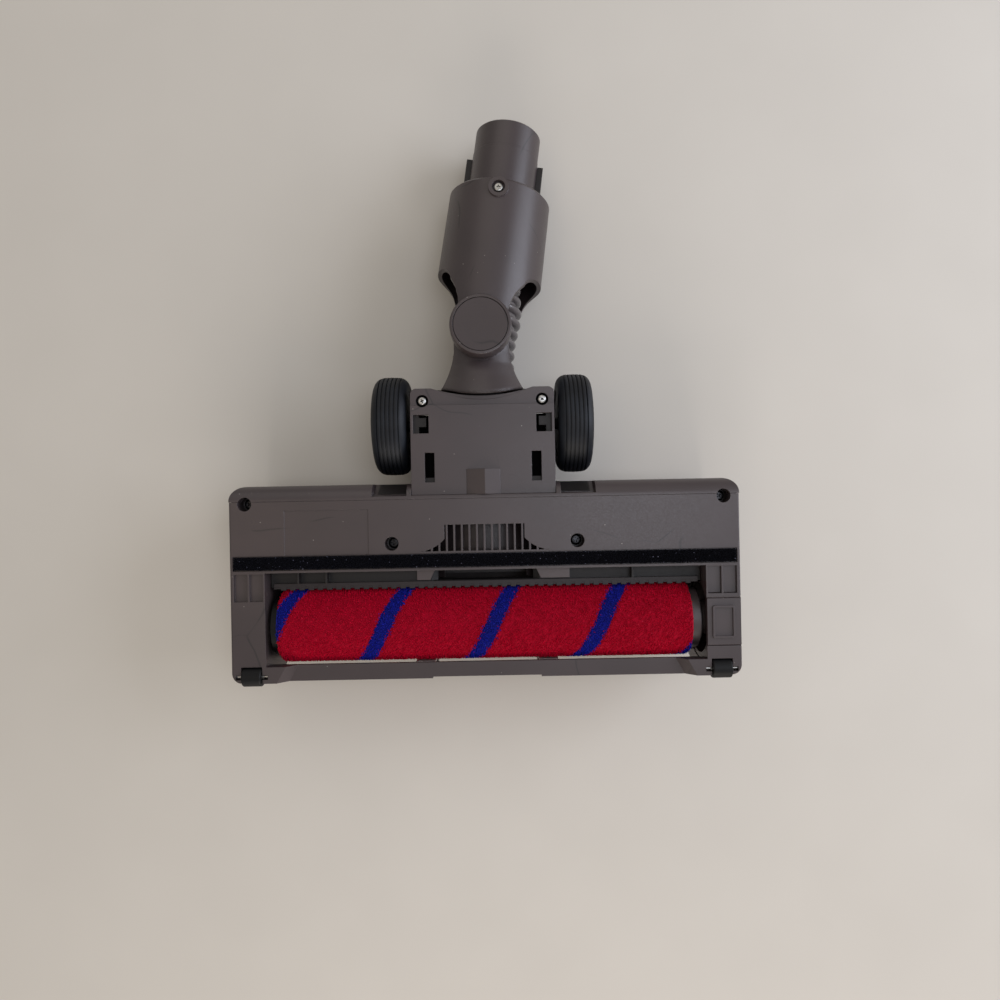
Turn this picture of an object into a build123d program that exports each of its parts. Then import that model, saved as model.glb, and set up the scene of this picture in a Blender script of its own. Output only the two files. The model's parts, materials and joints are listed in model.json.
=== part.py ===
"""Vacuum floor head with a soft driven roller, modelled lying on its back with the sole up."""
import os
from math import asin, atan2, cos, degrees, radians, sin, sqrt

from build123d import *

os.makedirs("parts", exist_ok=True)

# Fits
fit = 0.10
run = 0.30
shaft_fit = 0.05

# Head housing
head_width = 250.0
head_depth = 96.7
sole_height = 62.0
use_gap = 2.0
shell_wall = 2.4
rear_corner_radius = 7.0
edge_radius = 5.0
lip_depth = 7.7
nose_radius = 40.4
cover_nose_radius = 34.4
cover_edge_drop = 33.0
frame_thickness = 4.0
plate_thickness = 2.2
end_block_width = 17.0
partition = 2.0

# Roller
roller_setback = 26.25
pile_radius = 18.8
pile_end_gap = 3.0
pile_depth = 3.8
pile_rounding = 3.0
core_wall = 2.0
stripe_pitch = 51.8
stripe_width = 8.4
stripe_offset = 7.6
hub_length = 12.0
stub_radius = 4.0
end_cap_radius = 20.2
button_length = 16.0
button_width = 11.0
button_rim = 1.1
button_height = 1.0

# Chamber and sole details
liner_gap = 1.8
liner_wall = 1.8
liner_rib_offset = 60.0
mouth_rear = 5.6
ledge_depth = 10.0
throat_width = 54.0
comb_pitch = 4.6
comb_tooth = 2.6
comb_gap = 0.7
felt_width = 7.1
felt_height = 2.2
felt_seat = 1.2
bar_width = 8.0
bar_drop = 5.0
bar_height = 9.0
bridge_offset = 29.0
bridge_width = 6.0
grille_width = 39.2
grille_flare = 63.0
grille_length = 12.9
slat_pitch = 3.7
slat_width = 0.95
screw_inset_rear = 7.7
screw_offset_mid = 45.5
screw_depth = 12.0
screw_head_radius = 2.8
screw_radius = 1.5
screw_length = 14.0
counterbore_radius = 3.4
panel_inset = 27.1
panel_length = 41.1
panel_width = 21.8
panel_depth = 0.3
pocket_length = 13.4
pocket_width = 6.6
pocket_depth = 1.8

# Casters
caster_radius = 4.8
caster_width = 9.7
caster_shift = 1.3
caster_setback = 3.05
pin_radius = 1.1
pin_length = 15.6

# Chassis, wheels and neck
chassis_width = 71.0
chassis_length = 52.5
chassis_drop = 2.0
cover_thickness = 2.5
cheek_thickness = 4.0
wheel_radius = 25.2
wheel_width = 18.3
wheel_offset = 46.4
wheel_setback = 30.15
hub_radius = 17.0
axle_radius = 3.0
barrel_radius = 18.4
swivel_reach = 44.9
rest_swivel = -8.2
ring_radius = 15.3
disc_radius = 13.4
stem_radius = 9.0
cuff_radius = 27.4
cuff_top_radius = 26.7
cuff_wall = 2.2
cuff_start = 33.5
cuff_end = 76.8
tube_radius = 17.5
tube_end_radius = 17.3
tube_bore = 15.2
tube_end = 113.6
tube_step = 100.0
hose_radius = 16.2
hose_wall = 1.3
hose_pitch = 6.0
saddle_half_width = 20.6
saddle_length = 22.0
rest_gap = 0.2

# Drive
motor_radius = 13.0
motor_end_gap = 10.5
post_gap = 8.0
motor_pulley_radius = 6.0
drive_pulley_radius = 11.0
belt_width = 6.0
belt_thickness = 1.2
motor_y = 27.0
motor_z = 24.0
motor_shaft_radius = 1.6
bearing_radius = 8.0
bearing_width = 4.0
dog_radius = 5.6
dog_length = 9.0
board_gap = 2.0
board_width = 26.0

# Derived places
half_w = head_width / 2
front_y = -head_depth / 2
rear_y = head_depth / 2
seam_y = rear_y - lip_depth
rim_z = sole_height - frame_thickness
cover_edge_height = sole_height - cover_edge_drop
use_z = sole_height + use_gap
block_x = half_w - end_block_width
end_cavity_x = block_x + partition
pile_length = 2 * (block_x - pile_end_gap)
caster_offset = half_w - end_block_width / 2 - caster_shift
screw_offset_rear = half_w - screw_inset_rear
nose_y = front_y + nose_radius
roller_y = front_y + roller_setback
roller_z = use_z - pile_radius
core_radius = pile_radius - pile_depth
opening_radius = end_cap_radius + run
liner_inner = pile_radius + liner_gap
liner_outer = liner_inner + liner_wall
ledge_z = sole_height - ledge_depth
bar_top = sole_height - bar_drop
bar_bottom = bar_top - bar_height
bar_inner = front_y + bar_width
felt_front = mouth_rear + 1.2
felt_rear = felt_front + felt_width
grille_front = felt_rear + 1.0
grille_rear = grille_front + grille_length
screw_y_rear = seam_y - 1.1
screw_y_mid = grille_front + 4.1
screw_floor = sole_height - screw_depth
caster_y = front_y + caster_setback
caster_z = use_z - caster_radius
wheel_y = rear_y + wheel_setback
wheel_z = use_z - wheel_radius
chassis_half = chassis_width / 2
chassis_front = seam_y + 1.9
chassis_rear = chassis_front + chassis_length
cover_z = sole_height - chassis_drop
cover_under = cover_z - cover_thickness
barrel_half = chassis_half - cheek_thickness - 5.5
spigot_radius = hose_radius - 0.2
seal_low = wheel_z - sqrt(barrel_radius**2 - spigot_radius**2) + 2 * run

motor_length = block_x - motor_end_gap - screw_offset_mid - post_gap
motor_x = -screw_offset_mid - post_gap - motor_length / 2
board_length = block_x - board_gap - screw_offset_mid - post_gap + 1.5
board_x = block_x - board_gap - board_length / 2
board_y = 24.0
duct_width = 51.0
duct_low = 22.0
duct_high = ledge_z - liner_wall - 0.2
scallop_width = 17.0
panel_x = panel_inset + panel_length / 2 - half_w
panel_y = 25.1

# Rest pose of the neck: the cuff's upper rim lies on the plane of the top
rim_reach = swivel_reach + cuff_end * cos(radians(rest_swivel))
lift = wheel_z - rest_gap
rest_pitch = degrees(
    asin(lift / sqrt(rim_reach**2 + cuff_top_radius**2)) - atan2(cuff_top_radius, rim_reach)
)
neck_dir = Vector(0, cos(radians(rest_pitch)), -sin(radians(rest_pitch)))
neck_up = Vector(0, sin(radians(rest_pitch)), cos(radians(rest_pitch)))
pitch_point = Vector(0, wheel_y, wheel_z)
neck_plan = Plane(pitch_point, x_dir=(1, 0, 0), z_dir=neck_up)
neck_side = Plane(pitch_point, x_dir=neck_dir, z_dir=(1, 0, 0))
swivel_point = pitch_point + neck_dir * swivel_reach
turn = radians(rest_swivel)
cuff_x = Vector(1, 0, 0) * cos(turn) + neck_dir * sin(turn)
cuff_dir = neck_dir * cos(turn) - Vector(1, 0, 0) * sin(turn)
cuff_plan = Plane(swivel_point, x_dir=cuff_x, z_dir=neck_up)
cuff_side = Plane(swivel_point, x_dir=cuff_dir, z_dir=cuff_x)
cuff_end_plane = Plane(swivel_point, x_dir=cuff_x, z_dir=cuff_dir)


def housing_outline(nose, inset, close_z):
    """Side outline of the housing in Y and Z, drawn in by inset and closed at close_z."""
    arc = nose - inset
    lip = lip_depth - inset
    with BuildSketch() as outline:
        with BuildLine():
            ThreePointArc(
                (nose_y - arc, nose),
                (nose_y - arc * cos(radians(45)), nose - arc * sin(radians(45))),
                (nose_y, inset),
            )
            Polyline(
                (nose_y, inset),
                (rear_y - inset, inset),
                (rear_y - inset, sole_height - lip_depth),
            )
            ThreePointArc(
                (rear_y - inset, sole_height - lip_depth),
                (seam_y + lip * cos(radians(45)), sole_height - lip_depth + lip * sin(radians(45))),
                (seam_y, sole_height - inset),
            )
            Polyline(
                (seam_y, sole_height - inset),
                (seam_y, close_z),
                (nose_y - arc, close_z),
                (nose_y - arc, nose),
            )
        make_face()
    return outline.sketch


def plan_outline(inset):
    """Plan outline of the housing with rounded rear corners, drawn in by inset."""
    with BuildSketch() as plan:
        Rectangle(head_width - 2 * inset, head_depth - 2 * inset)
        fillet(plan.vertices().group_by(Axis.Y)[-1], rear_corner_radius - inset)
    return plan.sketch


def sector(inner, outer, start, sweep):
    """Ring sector in the local plane, from the start angle through sweep degrees."""
    with BuildSketch() as ring:
        with BuildLine():
            far = CenterArc((0, 0), outer, start, sweep)
            near = CenterArc((0, 0), inner, start, sweep)
            Line(far @ 0, near @ 0)
            Line(far @ 1, near @ 1)
        make_face()
    return ring.sketch


screw_points = [
    (-screw_offset_rear, screw_y_rear),
    (screw_offset_rear, screw_y_rear),
    (-screw_offset_mid, screw_y_mid),
    (screw_offset_mid, screw_y_mid),
]
roller_plane = Plane.YZ.shift_origin((0, roller_y, roller_z))
wheel_plane = Plane.YZ.shift_origin((0, wheel_y, wheel_z))

# Top shell: skin, end partitions, ribs and screw posts
with BuildPart() as cavity:
    extrude(
        Plane.YZ * housing_outline(cover_nose_radius, shell_wall, sole_height + 1),
        amount=block_x,
        both=True,
    )
    for start_x in (end_cavity_x, shell_wall - half_w):
        extrude(
            Plane.YZ.offset(start_x) * housing_outline(nose_radius, shell_wall, sole_height + 1),
            amount=half_w - shell_wall - end_cavity_x,
        )
    extrude(plan_outline(shell_wall), amount=sole_height + 2, mode=Mode.INTERSECT)
    low_edges = cavity.edges().filter_by(Axis.Y).group_by(Axis.Z)[0].sort_by(Axis.X)
    fillet([low_edges[0], low_edges[-1]], edge_radius - shell_wall)

with BuildPart() as top_shell:
    extrude(
        Plane.YZ * housing_outline(cover_nose_radius, 0, rim_z),
        amount=half_w,
        both=True,
    )
    for start_x in (block_x, -half_w):
        extrude(
            Plane.YZ.offset(start_x) * housing_outline(nose_radius, 0, rim_z),
            amount=end_block_width,
        )
    extrude(plan_outline(0), amount=sole_height, mode=Mode.INTERSECT)
    fillet(top_shell.edges().filter_by(Axis.Y).group_by(Axis.Z)[0], edge_radius)
    add(cavity.part, mode=Mode.SUBTRACT)
    # Window over the roller, between the end blocks
    with BuildSketch(Plane.XY.offset(cover_edge_height)):
        with Locations((0, front_y - 1)):
            Rectangle(2 * block_x, nose_radius, align=(Align.CENTER, Align.MIN))
    extrude(amount=sole_height, mode=Mode.SUBTRACT)
    # Roller opening on the right, drive holes in the left partition
    with BuildSketch(Plane.YZ.offset(block_x - 1)):
        with Locations((roller_y, roller_z)):
            Circle(opening_radius)
    extrude(amount=end_block_width + 2, mode=Mode.SUBTRACT)
    with BuildSketch(Plane.YZ.offset(-end_cavity_x - 1)):
        with Locations((roller_y, roller_z)):
            Circle(bearing_radius + fit)
        with Locations((motor_y, motor_z)):
            Circle(motor_shaft_radius + 1.5)
    extrude(amount=partition + 2, mode=Mode.SUBTRACT)
    # Caster notches in the front wall
    with BuildSketch(Plane.XY.offset(rim_z - frame_thickness - 2)):
        for side in (-1, 1):
            with Locations((side * caster_offset, front_y - 1)):
                Rectangle(
                    caster_width + 2 * run,
                    caster_setback + caster_radius + 2,
                    align=(Align.CENTER, Align.MIN),
                )
    extrude(amount=frame_thickness + 3, mode=Mode.SUBTRACT)
    # Bridges from the nose up to the front bar
    for start_x in (bridge_offset - bridge_width / 2, -bridge_offset - bridge_width / 2):
        with BuildSketch(Plane.YZ.offset(start_x)):
            with BuildLine():
                Polyline(
                    (front_y + 2.4, bar_bottom - fit),
                    (roller_y - pile_radius - 0.7, bar_bottom - fit),
                    (roller_y - pile_radius - 0.7, cover_edge_height + 2),
                    (nose_y - cover_nose_radius + 2.0, cover_edge_height - 1),
                    (nose_y - cover_nose_radius + 3.8, cover_edge_height - 8),
                    (nose_y - cover_nose_radius + 0.6, cover_edge_height - 8),
                    (front_y + 2.4, cover_edge_height + 2),
                    close=True,
                )
            make_face()
        extrude(amount=bridge_width)
    # Ribs under the chamber liner and the motor
    with BuildSketch(Plane.XY.offset(shell_wall / 2)):
        with Locations((-liner_rib_offset, nose_y - 2), (liner_rib_offset, nose_y - 2)):
            Rectangle(2.0, 14.0)
    extrude(amount=roller_z - liner_outer + 6)
    with BuildSketch(Plane.YZ.offset(-block_x)):
        with Locations((roller_y, roller_z)):
            Circle(liner_outer + fit)
    extrude(amount=2 * block_x, mode=Mode.SUBTRACT)
    with BuildSketch(Plane.XY.offset(shell_wall / 2)):
        with Locations((motor_x - motor_length / 4, motor_y), (motor_x + motor_length / 4, motor_y)):
            Rectangle(2.0, 1.6 * motor_radius)
    extrude(amount=motor_z - motor_radius + 5)
    with BuildSketch(Plane.YZ.offset(-block_x)):
        with Locations((motor_y, motor_z)):
            Circle(motor_radius + fit)
    extrude(amount=block_x, mode=Mode.SUBTRACT)
    # Board standoffs and screw posts
    with BuildSketch(Plane.XY.offset(shell_wall / 2)):
        with Locations((board_x, board_y)):
            with GridLocations(board_length - 8, board_width - 8, 2, 2):
                Circle(2.2)
    extrude(amount=8.0)
    with BuildSketch(Plane.XY.offset(shell_wall / 2)):
        with Locations(*screw_points):
            Circle(screw_radius + 2.6)
    extrude(amount=screw_floor - fit - shell_wall / 2)
    with BuildSketch(Plane.XY.offset(screw_floor + 2 - screw_length - 1)):
        with Locations(*screw_points):
            Circle(screw_radius + shaft_fit)
    extrude(amount=screw_length, mode=Mode.SUBTRACT)
    # Deep counterbores where the rear screws cross the lip
    with BuildSketch(Plane.XY.offset(rim_z - 2)):
        with Locations(*screw_points[:2]):
            Circle(counterbore_radius)
    extrude(amount=frame_thickness + 3, mode=Mode.SUBTRACT)
    # Rear wall: air passage, seat of the chassis cover and wheel scallops
    with BuildSketch(Plane.XZ.offset(-rear_y + lip_depth + 2)):
        with Locations((0, (duct_low + duct_high) / 2)):
            Rectangle(duct_width + 2 * fit, duct_high - duct_low + 2 * fit)
    extrude(amount=-lip_depth - 4, mode=Mode.SUBTRACT)
    with BuildSketch(Plane.XY.offset(cover_under - fit)):
        with Locations((0, chassis_front - fit)):
            Rectangle(chassis_width + 2 * fit, lip_depth + 4, align=(Align.CENTER, Align.MIN))
    extrude(amount=sole_height, mode=Mode.SUBTRACT)
    for side in (-1, 1):
        with BuildSketch(Plane.XY.offset(sole_height - 18)):
            with Locations((side * wheel_offset, rear_y - 5.2)):
                Rectangle(scallop_width + 4, 8.0)
        extrude(amount=13.0)
        with BuildSketch(Plane.YZ.offset(side * wheel_offset - scallop_width / 2)):
            with BuildLine():
                Polyline(
                    (rear_y - 6.3, sole_height + 1),
                    (rear_y - 5.2, sole_height - 5),
                    (rear_y + 1, sole_height - 17),
                    (rear_y + 1, sole_height + 1),
                    close=True,
                )
            make_face()
        extrude(amount=scallop_width, mode=Mode.SUBTRACT)

# Sole frame: plate, side rails, front bar, grille and screw bosses
with BuildPart() as sole_frame:
    with BuildSketch(Plane.XY.offset(rim_z)) as plate:
        with Locations((0, front_y)):
            Rectangle(head_width, seam_y - fit - front_y, align=(Align.CENTER, Align.MIN))
        fillet(plate.vertices().group_by(Axis.Y)[0], edge_radius)
    extrude(amount=frame_thickness)
    outer_edges = sole_frame.faces().sort_by(Axis.Z)[-1].edges()
    fillet(outer_edges.sort_by(Axis.Y)[:-1], 1.0)
    # Open mouth, and the thin plate behind the felt
    with BuildSketch(Plane.XY.offset(rim_z - 1)):
        with Locations((0, front_y - 1)):
            Rectangle(2 * block_x, mouth_rear - front_y + 1, align=(Align.CENTER, Align.MIN))
    extrude(amount=frame_thickness + 2, mode=Mode.SUBTRACT)
    with BuildSketch(Plane.XY.offset(rim_z)):
        with Locations((0, felt_rear + 1.5)):
            Rectangle(
                head_width - 10,
                seam_y - 3 - felt_rear - 1.5,
                align=(Align.CENTER, Align.MIN),
            )
    extrude(amount=frame_thickness - plate_thickness, mode=Mode.SUBTRACT)
    # Screw bosses
    with BuildSketch(Plane.XY.offset(screw_floor)):
        with Locations(*screw_points):
            Circle(counterbore_radius + 1.2)
    extrude(amount=screw_depth - frame_thickness - 1.5)
    with BuildSketch(Plane.XY.offset(screw_floor)):
        with Locations(*screw_points[2:]):
            Circle(counterbore_radius + 1.2)
    extrude(amount=screw_depth - plate_thickness / 2)
    with BuildSketch(Plane.XY.offset(rim_z - 2)):
        with Locations((-screw_offset_rear, seam_y - fit), (screw_offset_rear, seam_y - fit)):
            Rectangle(
                2 * counterbore_radius + 2.4,
                counterbore_radius + 3,
                align=(Align.CENTER, Align.MAX),
            )
    extrude(amount=frame_thickness)
    with BuildSketch(Plane.XY.offset(screw_floor + 2)):
        with Locations(*screw_points):
            Circle(counterbore_radius)
    extrude(amount=screw_depth, mode=Mode.SUBTRACT)
    with BuildSketch(Plane.XY.offset(screw_floor - 1)):
        with Locations(*screw_points):
            Circle(screw_radius + 0.2)
    extrude(amount=4, mode=Mode.SUBTRACT)
    # Front bar with sloped ends
    with BuildSketch(Plane.YZ.offset(fit - block_x)):
        with BuildLine():
            Polyline(
                (front_y, sole_height),
                (bar_inner, sole_height),
                (bar_inner, bar_top),
                (bar_inner - 1.5, bar_bottom),
                (front_y + 1.5, bar_bottom),
                (front_y, bar_bottom + 2),
                close=True,
            )
        make_face()
    extrude(amount=2 * (block_x - fit))
    with BuildSketch(Plane.XY.offset(rim_z)):
        for side in (-1, 1):
            with Locations((side * block_x, front_y)):
                Rectangle(4, bar_width, align=(Align.CENTER, Align.MIN))
    extrude(amount=frame_thickness)
    slope = 4.5 / bar_width
    ramp_far = block_x - 5
    with BuildSketch(Plane.XY.offset(sole_height)):
        with BuildLine():
            Polyline(
                (-ramp_far - 4 * slope, front_y - 4),
                (ramp_far + 4 * slope, front_y - 4),
                (ramp_far - (bar_width + 4) * slope, bar_inner + 4),
                (-ramp_far + (bar_width + 4) * slope, bar_inner + 4),
                close=True,
            )
        make_face()
    with BuildSketch(Plane.XY.offset(bar_top)):
        with BuildLine():
            Polyline(
                (-ramp_far - 4 * slope + bar_drop, front_y - 4),
                (ramp_far + 4 * slope - bar_drop, front_y - 4),
                (ramp_far - (bar_width + 4) * slope - bar_drop, bar_inner + 4),
                (-ramp_far + (bar_width + 4) * slope + bar_drop, bar_inner + 4),
                close=True,
            )
        make_face()
    loft(mode=Mode.SUBTRACT)
    with BuildSketch(Plane.XY.offset(bar_bottom - 1)):
        with Locations((0, front_y)):
            Rectangle(throat_width, 1.6)
    extrude(amount=bar_height + 2, mode=Mode.SUBTRACT)
    # Felt seat, grille, bare panel and pockets
    flare = (grille_flare - grille_width) / 2
    with BuildSketch(Plane.XY.offset(sole_height - felt_seat)):
        with Locations((0, felt_front)):
            Rectangle(head_width - 3, felt_width, align=(Align.CENTER, Align.MIN))
    extrude(amount=felt_seat + 1, mode=Mode.SUBTRACT)
    with BuildSketch(Plane.XY.offset(rim_z - 1)):
        with BuildLine():
            Polyline(
                (-grille_width / 2, grille_front + 6),
                (-grille_width / 2, grille_rear),
                (grille_width / 2, grille_rear),
                (grille_width / 2, grille_front + 6),
            )
            ThreePointArc(
                (grille_width / 2, grille_front + 6),
                (grille_width / 2 + 0.45 * flare, grille_front + 1.8),
                (grille_flare / 2, grille_front),
            )
            Line((grille_flare / 2, grille_front), (-grille_flare / 2, grille_front))
            ThreePointArc(
                (-grille_flare / 2, grille_front),
                (-grille_width / 2 - 0.45 * flare, grille_front + 1.8),
                (-grille_width / 2, grille_front + 6),
            )
        make_face()
        with Locations((0, (grille_front + grille_rear) / 2)):
            with GridLocations(slat_pitch, 0, 17, 1):
                Rectangle(slat_width, 2 * grille_length, mode=Mode.SUBTRACT)
    extrude(amount=frame_thickness + 2, mode=Mode.SUBTRACT)
    with BuildSketch(Plane.XY.offset(sole_height - panel_depth)):
        with Locations((panel_x, panel_y)):
            Rectangle(panel_length, panel_width)
    extrude(amount=1, mode=Mode.SUBTRACT)
    with BuildSketch(Plane.XY.offset(sole_height - pocket_depth)):
        with Locations((0, mouth_rear - 0.4)):
            with Locations(
                (-half_w + 5.2, 0),
                (-block_x - 4.2, 0),
                (block_x + 4.2, 0),
                (half_w - 5.2, 0),
            ):
                Rectangle(pocket_width, pocket_length, align=(Align.CENTER, Align.MAX))
    extrude(amount=pocket_depth + 1, mode=Mode.SUBTRACT)
    # Caster notches and pin grooves
    with BuildSketch(Plane.XY.offset(caster_z - caster_radius - run)):
        for side in (-1, 1):
            with Locations((side * caster_offset, front_y - 1)):
                Rectangle(
                    caster_width + 2 * run,
                    caster_setback + caster_radius + run + 1,
                    align=(Align.CENTER, Align.MIN),
                )
    extrude(amount=2 * caster_radius, mode=Mode.SUBTRACT)
    with BuildSketch(Plane.XY.offset(caster_z - pin_radius - fit)):
        for side in (-1, 1):
            with Locations((side * caster_offset, caster_y)):
                Rectangle(pin_length + 2 * fit, 2 * pin_radius + 2 * shaft_fit)
    extrude(amount=frame_thickness, mode=Mode.SUBTRACT)
    # Roller opening in the right rail
    with BuildSketch(Plane.YZ.offset(block_x - 1)):
        with Locations((roller_y, roller_z)):
            Circle(opening_radius)
    extrude(amount=end_block_width + 2, mode=Mode.SUBTRACT)

# Chamber liner: trough around the roller, rear ledge with the throat
liner_start = 180 + degrees(asin((roller_z - cover_edge_height + 0.8) / liner_outer))
liner_stop = 360 + degrees(asin((ledge_z - liner_wall / 2 - roller_z) / liner_outer))
ledge_front = roller_y + sqrt(liner_inner**2 - (ledge_z - roller_z) ** 2)
liner_half = block_x - run
ledge_ribs = (15 - block_x, 29 - block_x, block_x - 35)
with BuildPart() as chamber_liner:
    extrude(
        roller_plane.offset(-liner_half)
        * sector(liner_inner, liner_outer, liner_start, liner_stop - liner_start),
        amount=2 * liner_half,
    )
    with BuildSketch(Plane.YZ.offset(-liner_half)):
        with BuildLine():
            Polyline(
                (ledge_front, ledge_z),
                (mouth_rear + fit, ledge_z),
                (mouth_rear + fit, rim_z - fit),
                (mouth_rear + liner_wall, rim_z - fit),
                (mouth_rear + liner_wall, ledge_z - liner_wall),
                (ledge_front + 0.4, ledge_z - liner_wall),
                close=True,
            )
        make_face()
    extrude(amount=2 * liner_half)
    with BuildSketch(Plane.XY.offset(ledge_z)):
        with Locations(*((x, ledge_front + 2.4) for x in ledge_ribs)):
            Rectangle(1.0, mouth_rear - ledge_front - 2.0, align=(Align.CENTER, Align.MIN))
    extrude(amount=rim_z - ledge_z - 1.0)
    with BuildSketch(Plane.XY.offset(ledge_z)):
        with Locations((0, mouth_rear - 0.4)):
            Rectangle(throat_width, mouth_rear - ledge_front - 2.8, align=(Align.CENTER, Align.MAX))
    with BuildSketch(Plane.XY.offset(ledge_z - liner_wall - 0.4)):
        with Locations((0, mouth_rear - 0.4)):
            Rectangle(
                throat_width - 8,
                mouth_rear - ledge_front - 2.8,
                align=(Align.CENTER, Align.MAX),
            )
    loft(mode=Mode.SUBTRACT)
    with BuildSketch(Plane.XZ.offset(-roller_y - liner_inner / 2)):
        with Locations((0, (duct_low + duct_high) / 2 + 2)):
            Rectangle(duct_width - 8, duct_high - duct_low - 10)
    extrude(amount=-liner_outer, mode=Mode.SUBTRACT)
chamber_liner.part.label = "chamber_liner"

# Comb that strips hair off the roller
comb_root = ledge_front + 0.4
comb_tip = roller_y + sqrt(pile_radius**2 - (ledge_z - roller_z) ** 2) + comb_gap
comb_count = int((2 * block_x - 8) / comb_pitch)
with BuildPart() as comb_strip:
    with BuildSketch(Plane.XY.offset(ledge_z)):
        with Locations((0, comb_root)):
            Rectangle(2 * block_x - 4, 1.8, align=(Align.CENTER, Align.MIN))
        with Locations((0, comb_tip)):
            with GridLocations(comb_pitch, 0, comb_count, 1):
                Rectangle(comb_tooth, comb_root - comb_tip + 0.5, align=(Align.CENTER, Align.MIN))
    extrude(amount=1.8)
comb_strip.part.label = "comb_strip"

# Felt strip
with BuildPart() as felt_strip:
    with BuildSketch(Plane.XY.offset(sole_height - felt_seat)):
        with Locations((0, felt_front + fit)):
            Rectangle(head_width - 3.4, felt_width - 2 * fit, align=(Align.CENTER, Align.MIN))
    extrude(amount=felt_height)
    fillet(felt_strip.edges().filter_by(Axis.X).group_by(Axis.Z)[-1], 0.7)
felt_strip.part.label = "felt_strip"

# Air duct from the throat to the chassis
duct_wall = 1.5
duct_front = roller_y + liner_outer + fit


def arch(inset):
    """Arched section of the air duct in X and Z."""
    half = duct_width / 2 - inset
    with BuildSketch() as section:
        with BuildLine():
            Polyline(
                (half, duct_high - 10 - inset),
                (half, duct_low + inset),
                (-half, duct_low + inset),
                (-half, duct_high - 10 - inset),
            )
            ThreePointArc(
                (-half, duct_high - 10 - inset),
                (0, duct_high - inset),
                (half, duct_high - 10 - inset),
            )
        make_face()
    return section.sketch


with BuildPart() as air_duct:
    extrude(Plane.XZ.offset(-duct_front) * arch(0), amount=-(rear_y - duct_front))
    extrude(
        Plane.XZ.offset(-duct_front + 1) * arch(duct_wall),
        amount=-(rear_y - duct_front + 2),
        mode=Mode.SUBTRACT,
    )
    with BuildSketch(Plane.XY.offset(duct_high - 12)):
        with Locations((0, duct_front - 1)):
            Rectangle(
                throat_width - 12,
                mouth_rear - duct_front + 1,
                align=(Align.CENTER, Align.MIN),
            )
    extrude(amount=14, mode=Mode.SUBTRACT)
air_duct.part.label = "air_duct"

# Screws of the sole, four alike
with BuildPart() as sole_screws:
    with BuildSketch(Plane.XY.offset(screw_floor + 2)):
        with Locations(*screw_points):
            Circle(screw_head_radius)
    extrude(amount=1.9)
    with BuildSketch(Plane.XY.offset(screw_floor + 2)):
        with Locations(*screw_points):
            Circle(screw_radius)
    extrude(amount=2 - screw_length)
    with BuildSketch(Plane.XY.offset(screw_floor + 3.9)):
        with Locations(*screw_points):
            Rectangle(3.2, 0.7)
            Rectangle(0.7, 3.2)
    extrude(amount=-0.9, mode=Mode.SUBTRACT)
sole_screws.part.label = "sole_screws"

# Drive: motor, pulleys, belt, bearing and dog
belt_x = -(end_cavity_x + half_w - shell_wall) / 2
motor_plane = Plane.YZ.shift_origin((0, motor_y, motor_z))
with BuildPart() as drive_motor:
    with BuildSketch(motor_plane.offset(motor_x - motor_length / 2)):
        Circle(motor_radius)
    extrude(amount=motor_length)
    fillet(drive_motor.edges().filter_by(GeomType.CIRCLE), 1.5)
    with BuildSketch(motor_plane.offset(motor_x - motor_length / 2)):
        Circle(motor_shaft_radius + 2.4)
    extrude(amount=-2.0)
    with BuildSketch(motor_plane.offset(motor_x - motor_length / 2 - 3)):
        Circle(motor_shaft_radius + shaft_fit)
    extrude(amount=13, mode=Mode.SUBTRACT)
drive_motor.part.label = "drive_motor"

with BuildPart() as motor_shaft:
    with BuildSketch(motor_plane.offset(belt_x - belt_width / 2 - 1)):
        Circle(motor_shaft_radius)
    extrude(amount=motor_x - motor_length / 2 + 9 - belt_x + belt_width / 2 + 1)
motor_shaft.part.label = "motor_shaft"

with BuildPart() as motor_pulley:
    with BuildSketch(motor_plane.offset(belt_x - belt_width / 2)):
        Circle(motor_pulley_radius)
        Circle(motor_shaft_radius + shaft_fit, mode=Mode.SUBTRACT)
    extrude(amount=belt_width)
motor_pulley.part.label = "motor_pulley"

with BuildPart() as drive_pulley:
    with BuildSketch(roller_plane.offset(belt_x - belt_width / 2)):
        Circle(drive_pulley_radius)
        Circle(stub_radius + shaft_fit, mode=Mode.SUBTRACT)
    extrude(amount=belt_width)
    with BuildSketch(roller_plane.offset(belt_x - belt_width / 2)):
        with PolarLocations(drive_pulley_radius * 0.62, 6):
            Circle(1.8)
    extrude(amount=belt_width, mode=Mode.SUBTRACT)
drive_pulley.part.label = "drive_pulley"

span_y = motor_y - roller_y
span_z = motor_z - roller_z
span = sqrt(span_y**2 + span_z**2)
belt_plane = Plane((belt_x - belt_width / 2, roller_y, roller_z), x_dir=(0, span_y, span_z), z_dir=(1, 0, 0))


def belt_loop(grow):
    """Outline of the belt loop around both pulleys, grown by grow."""
    big = drive_pulley_radius + grow
    small = motor_pulley_radius + grow
    lean = asin((drive_pulley_radius - motor_pulley_radius) / span)
    with BuildSketch() as loop:
        with BuildLine():
            Line(
                (big * sin(lean), big * cos(lean)),
                (span + small * sin(lean), small * cos(lean)),
            )
            ThreePointArc(
                (span + small * sin(lean), small * cos(lean)),
                (span + small, 0),
                (span + small * sin(lean), -small * cos(lean)),
            )
            Line(
                (span + small * sin(lean), -small * cos(lean)),
                (big * sin(lean), -big * cos(lean)),
            )
            ThreePointArc(
                (big * sin(lean), -big * cos(lean)),
                (-big, 0),
                (big * sin(lean), big * cos(lean)),
            )
        make_face()
    return loop.sketch


with BuildPart() as drive_belt:
    extrude(belt_plane * belt_loop(run + belt_thickness), amount=belt_width)
    extrude(belt_plane * belt_loop(run), amount=belt_width, mode=Mode.SUBTRACT)
drive_belt.part.label = "drive_belt"

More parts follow.
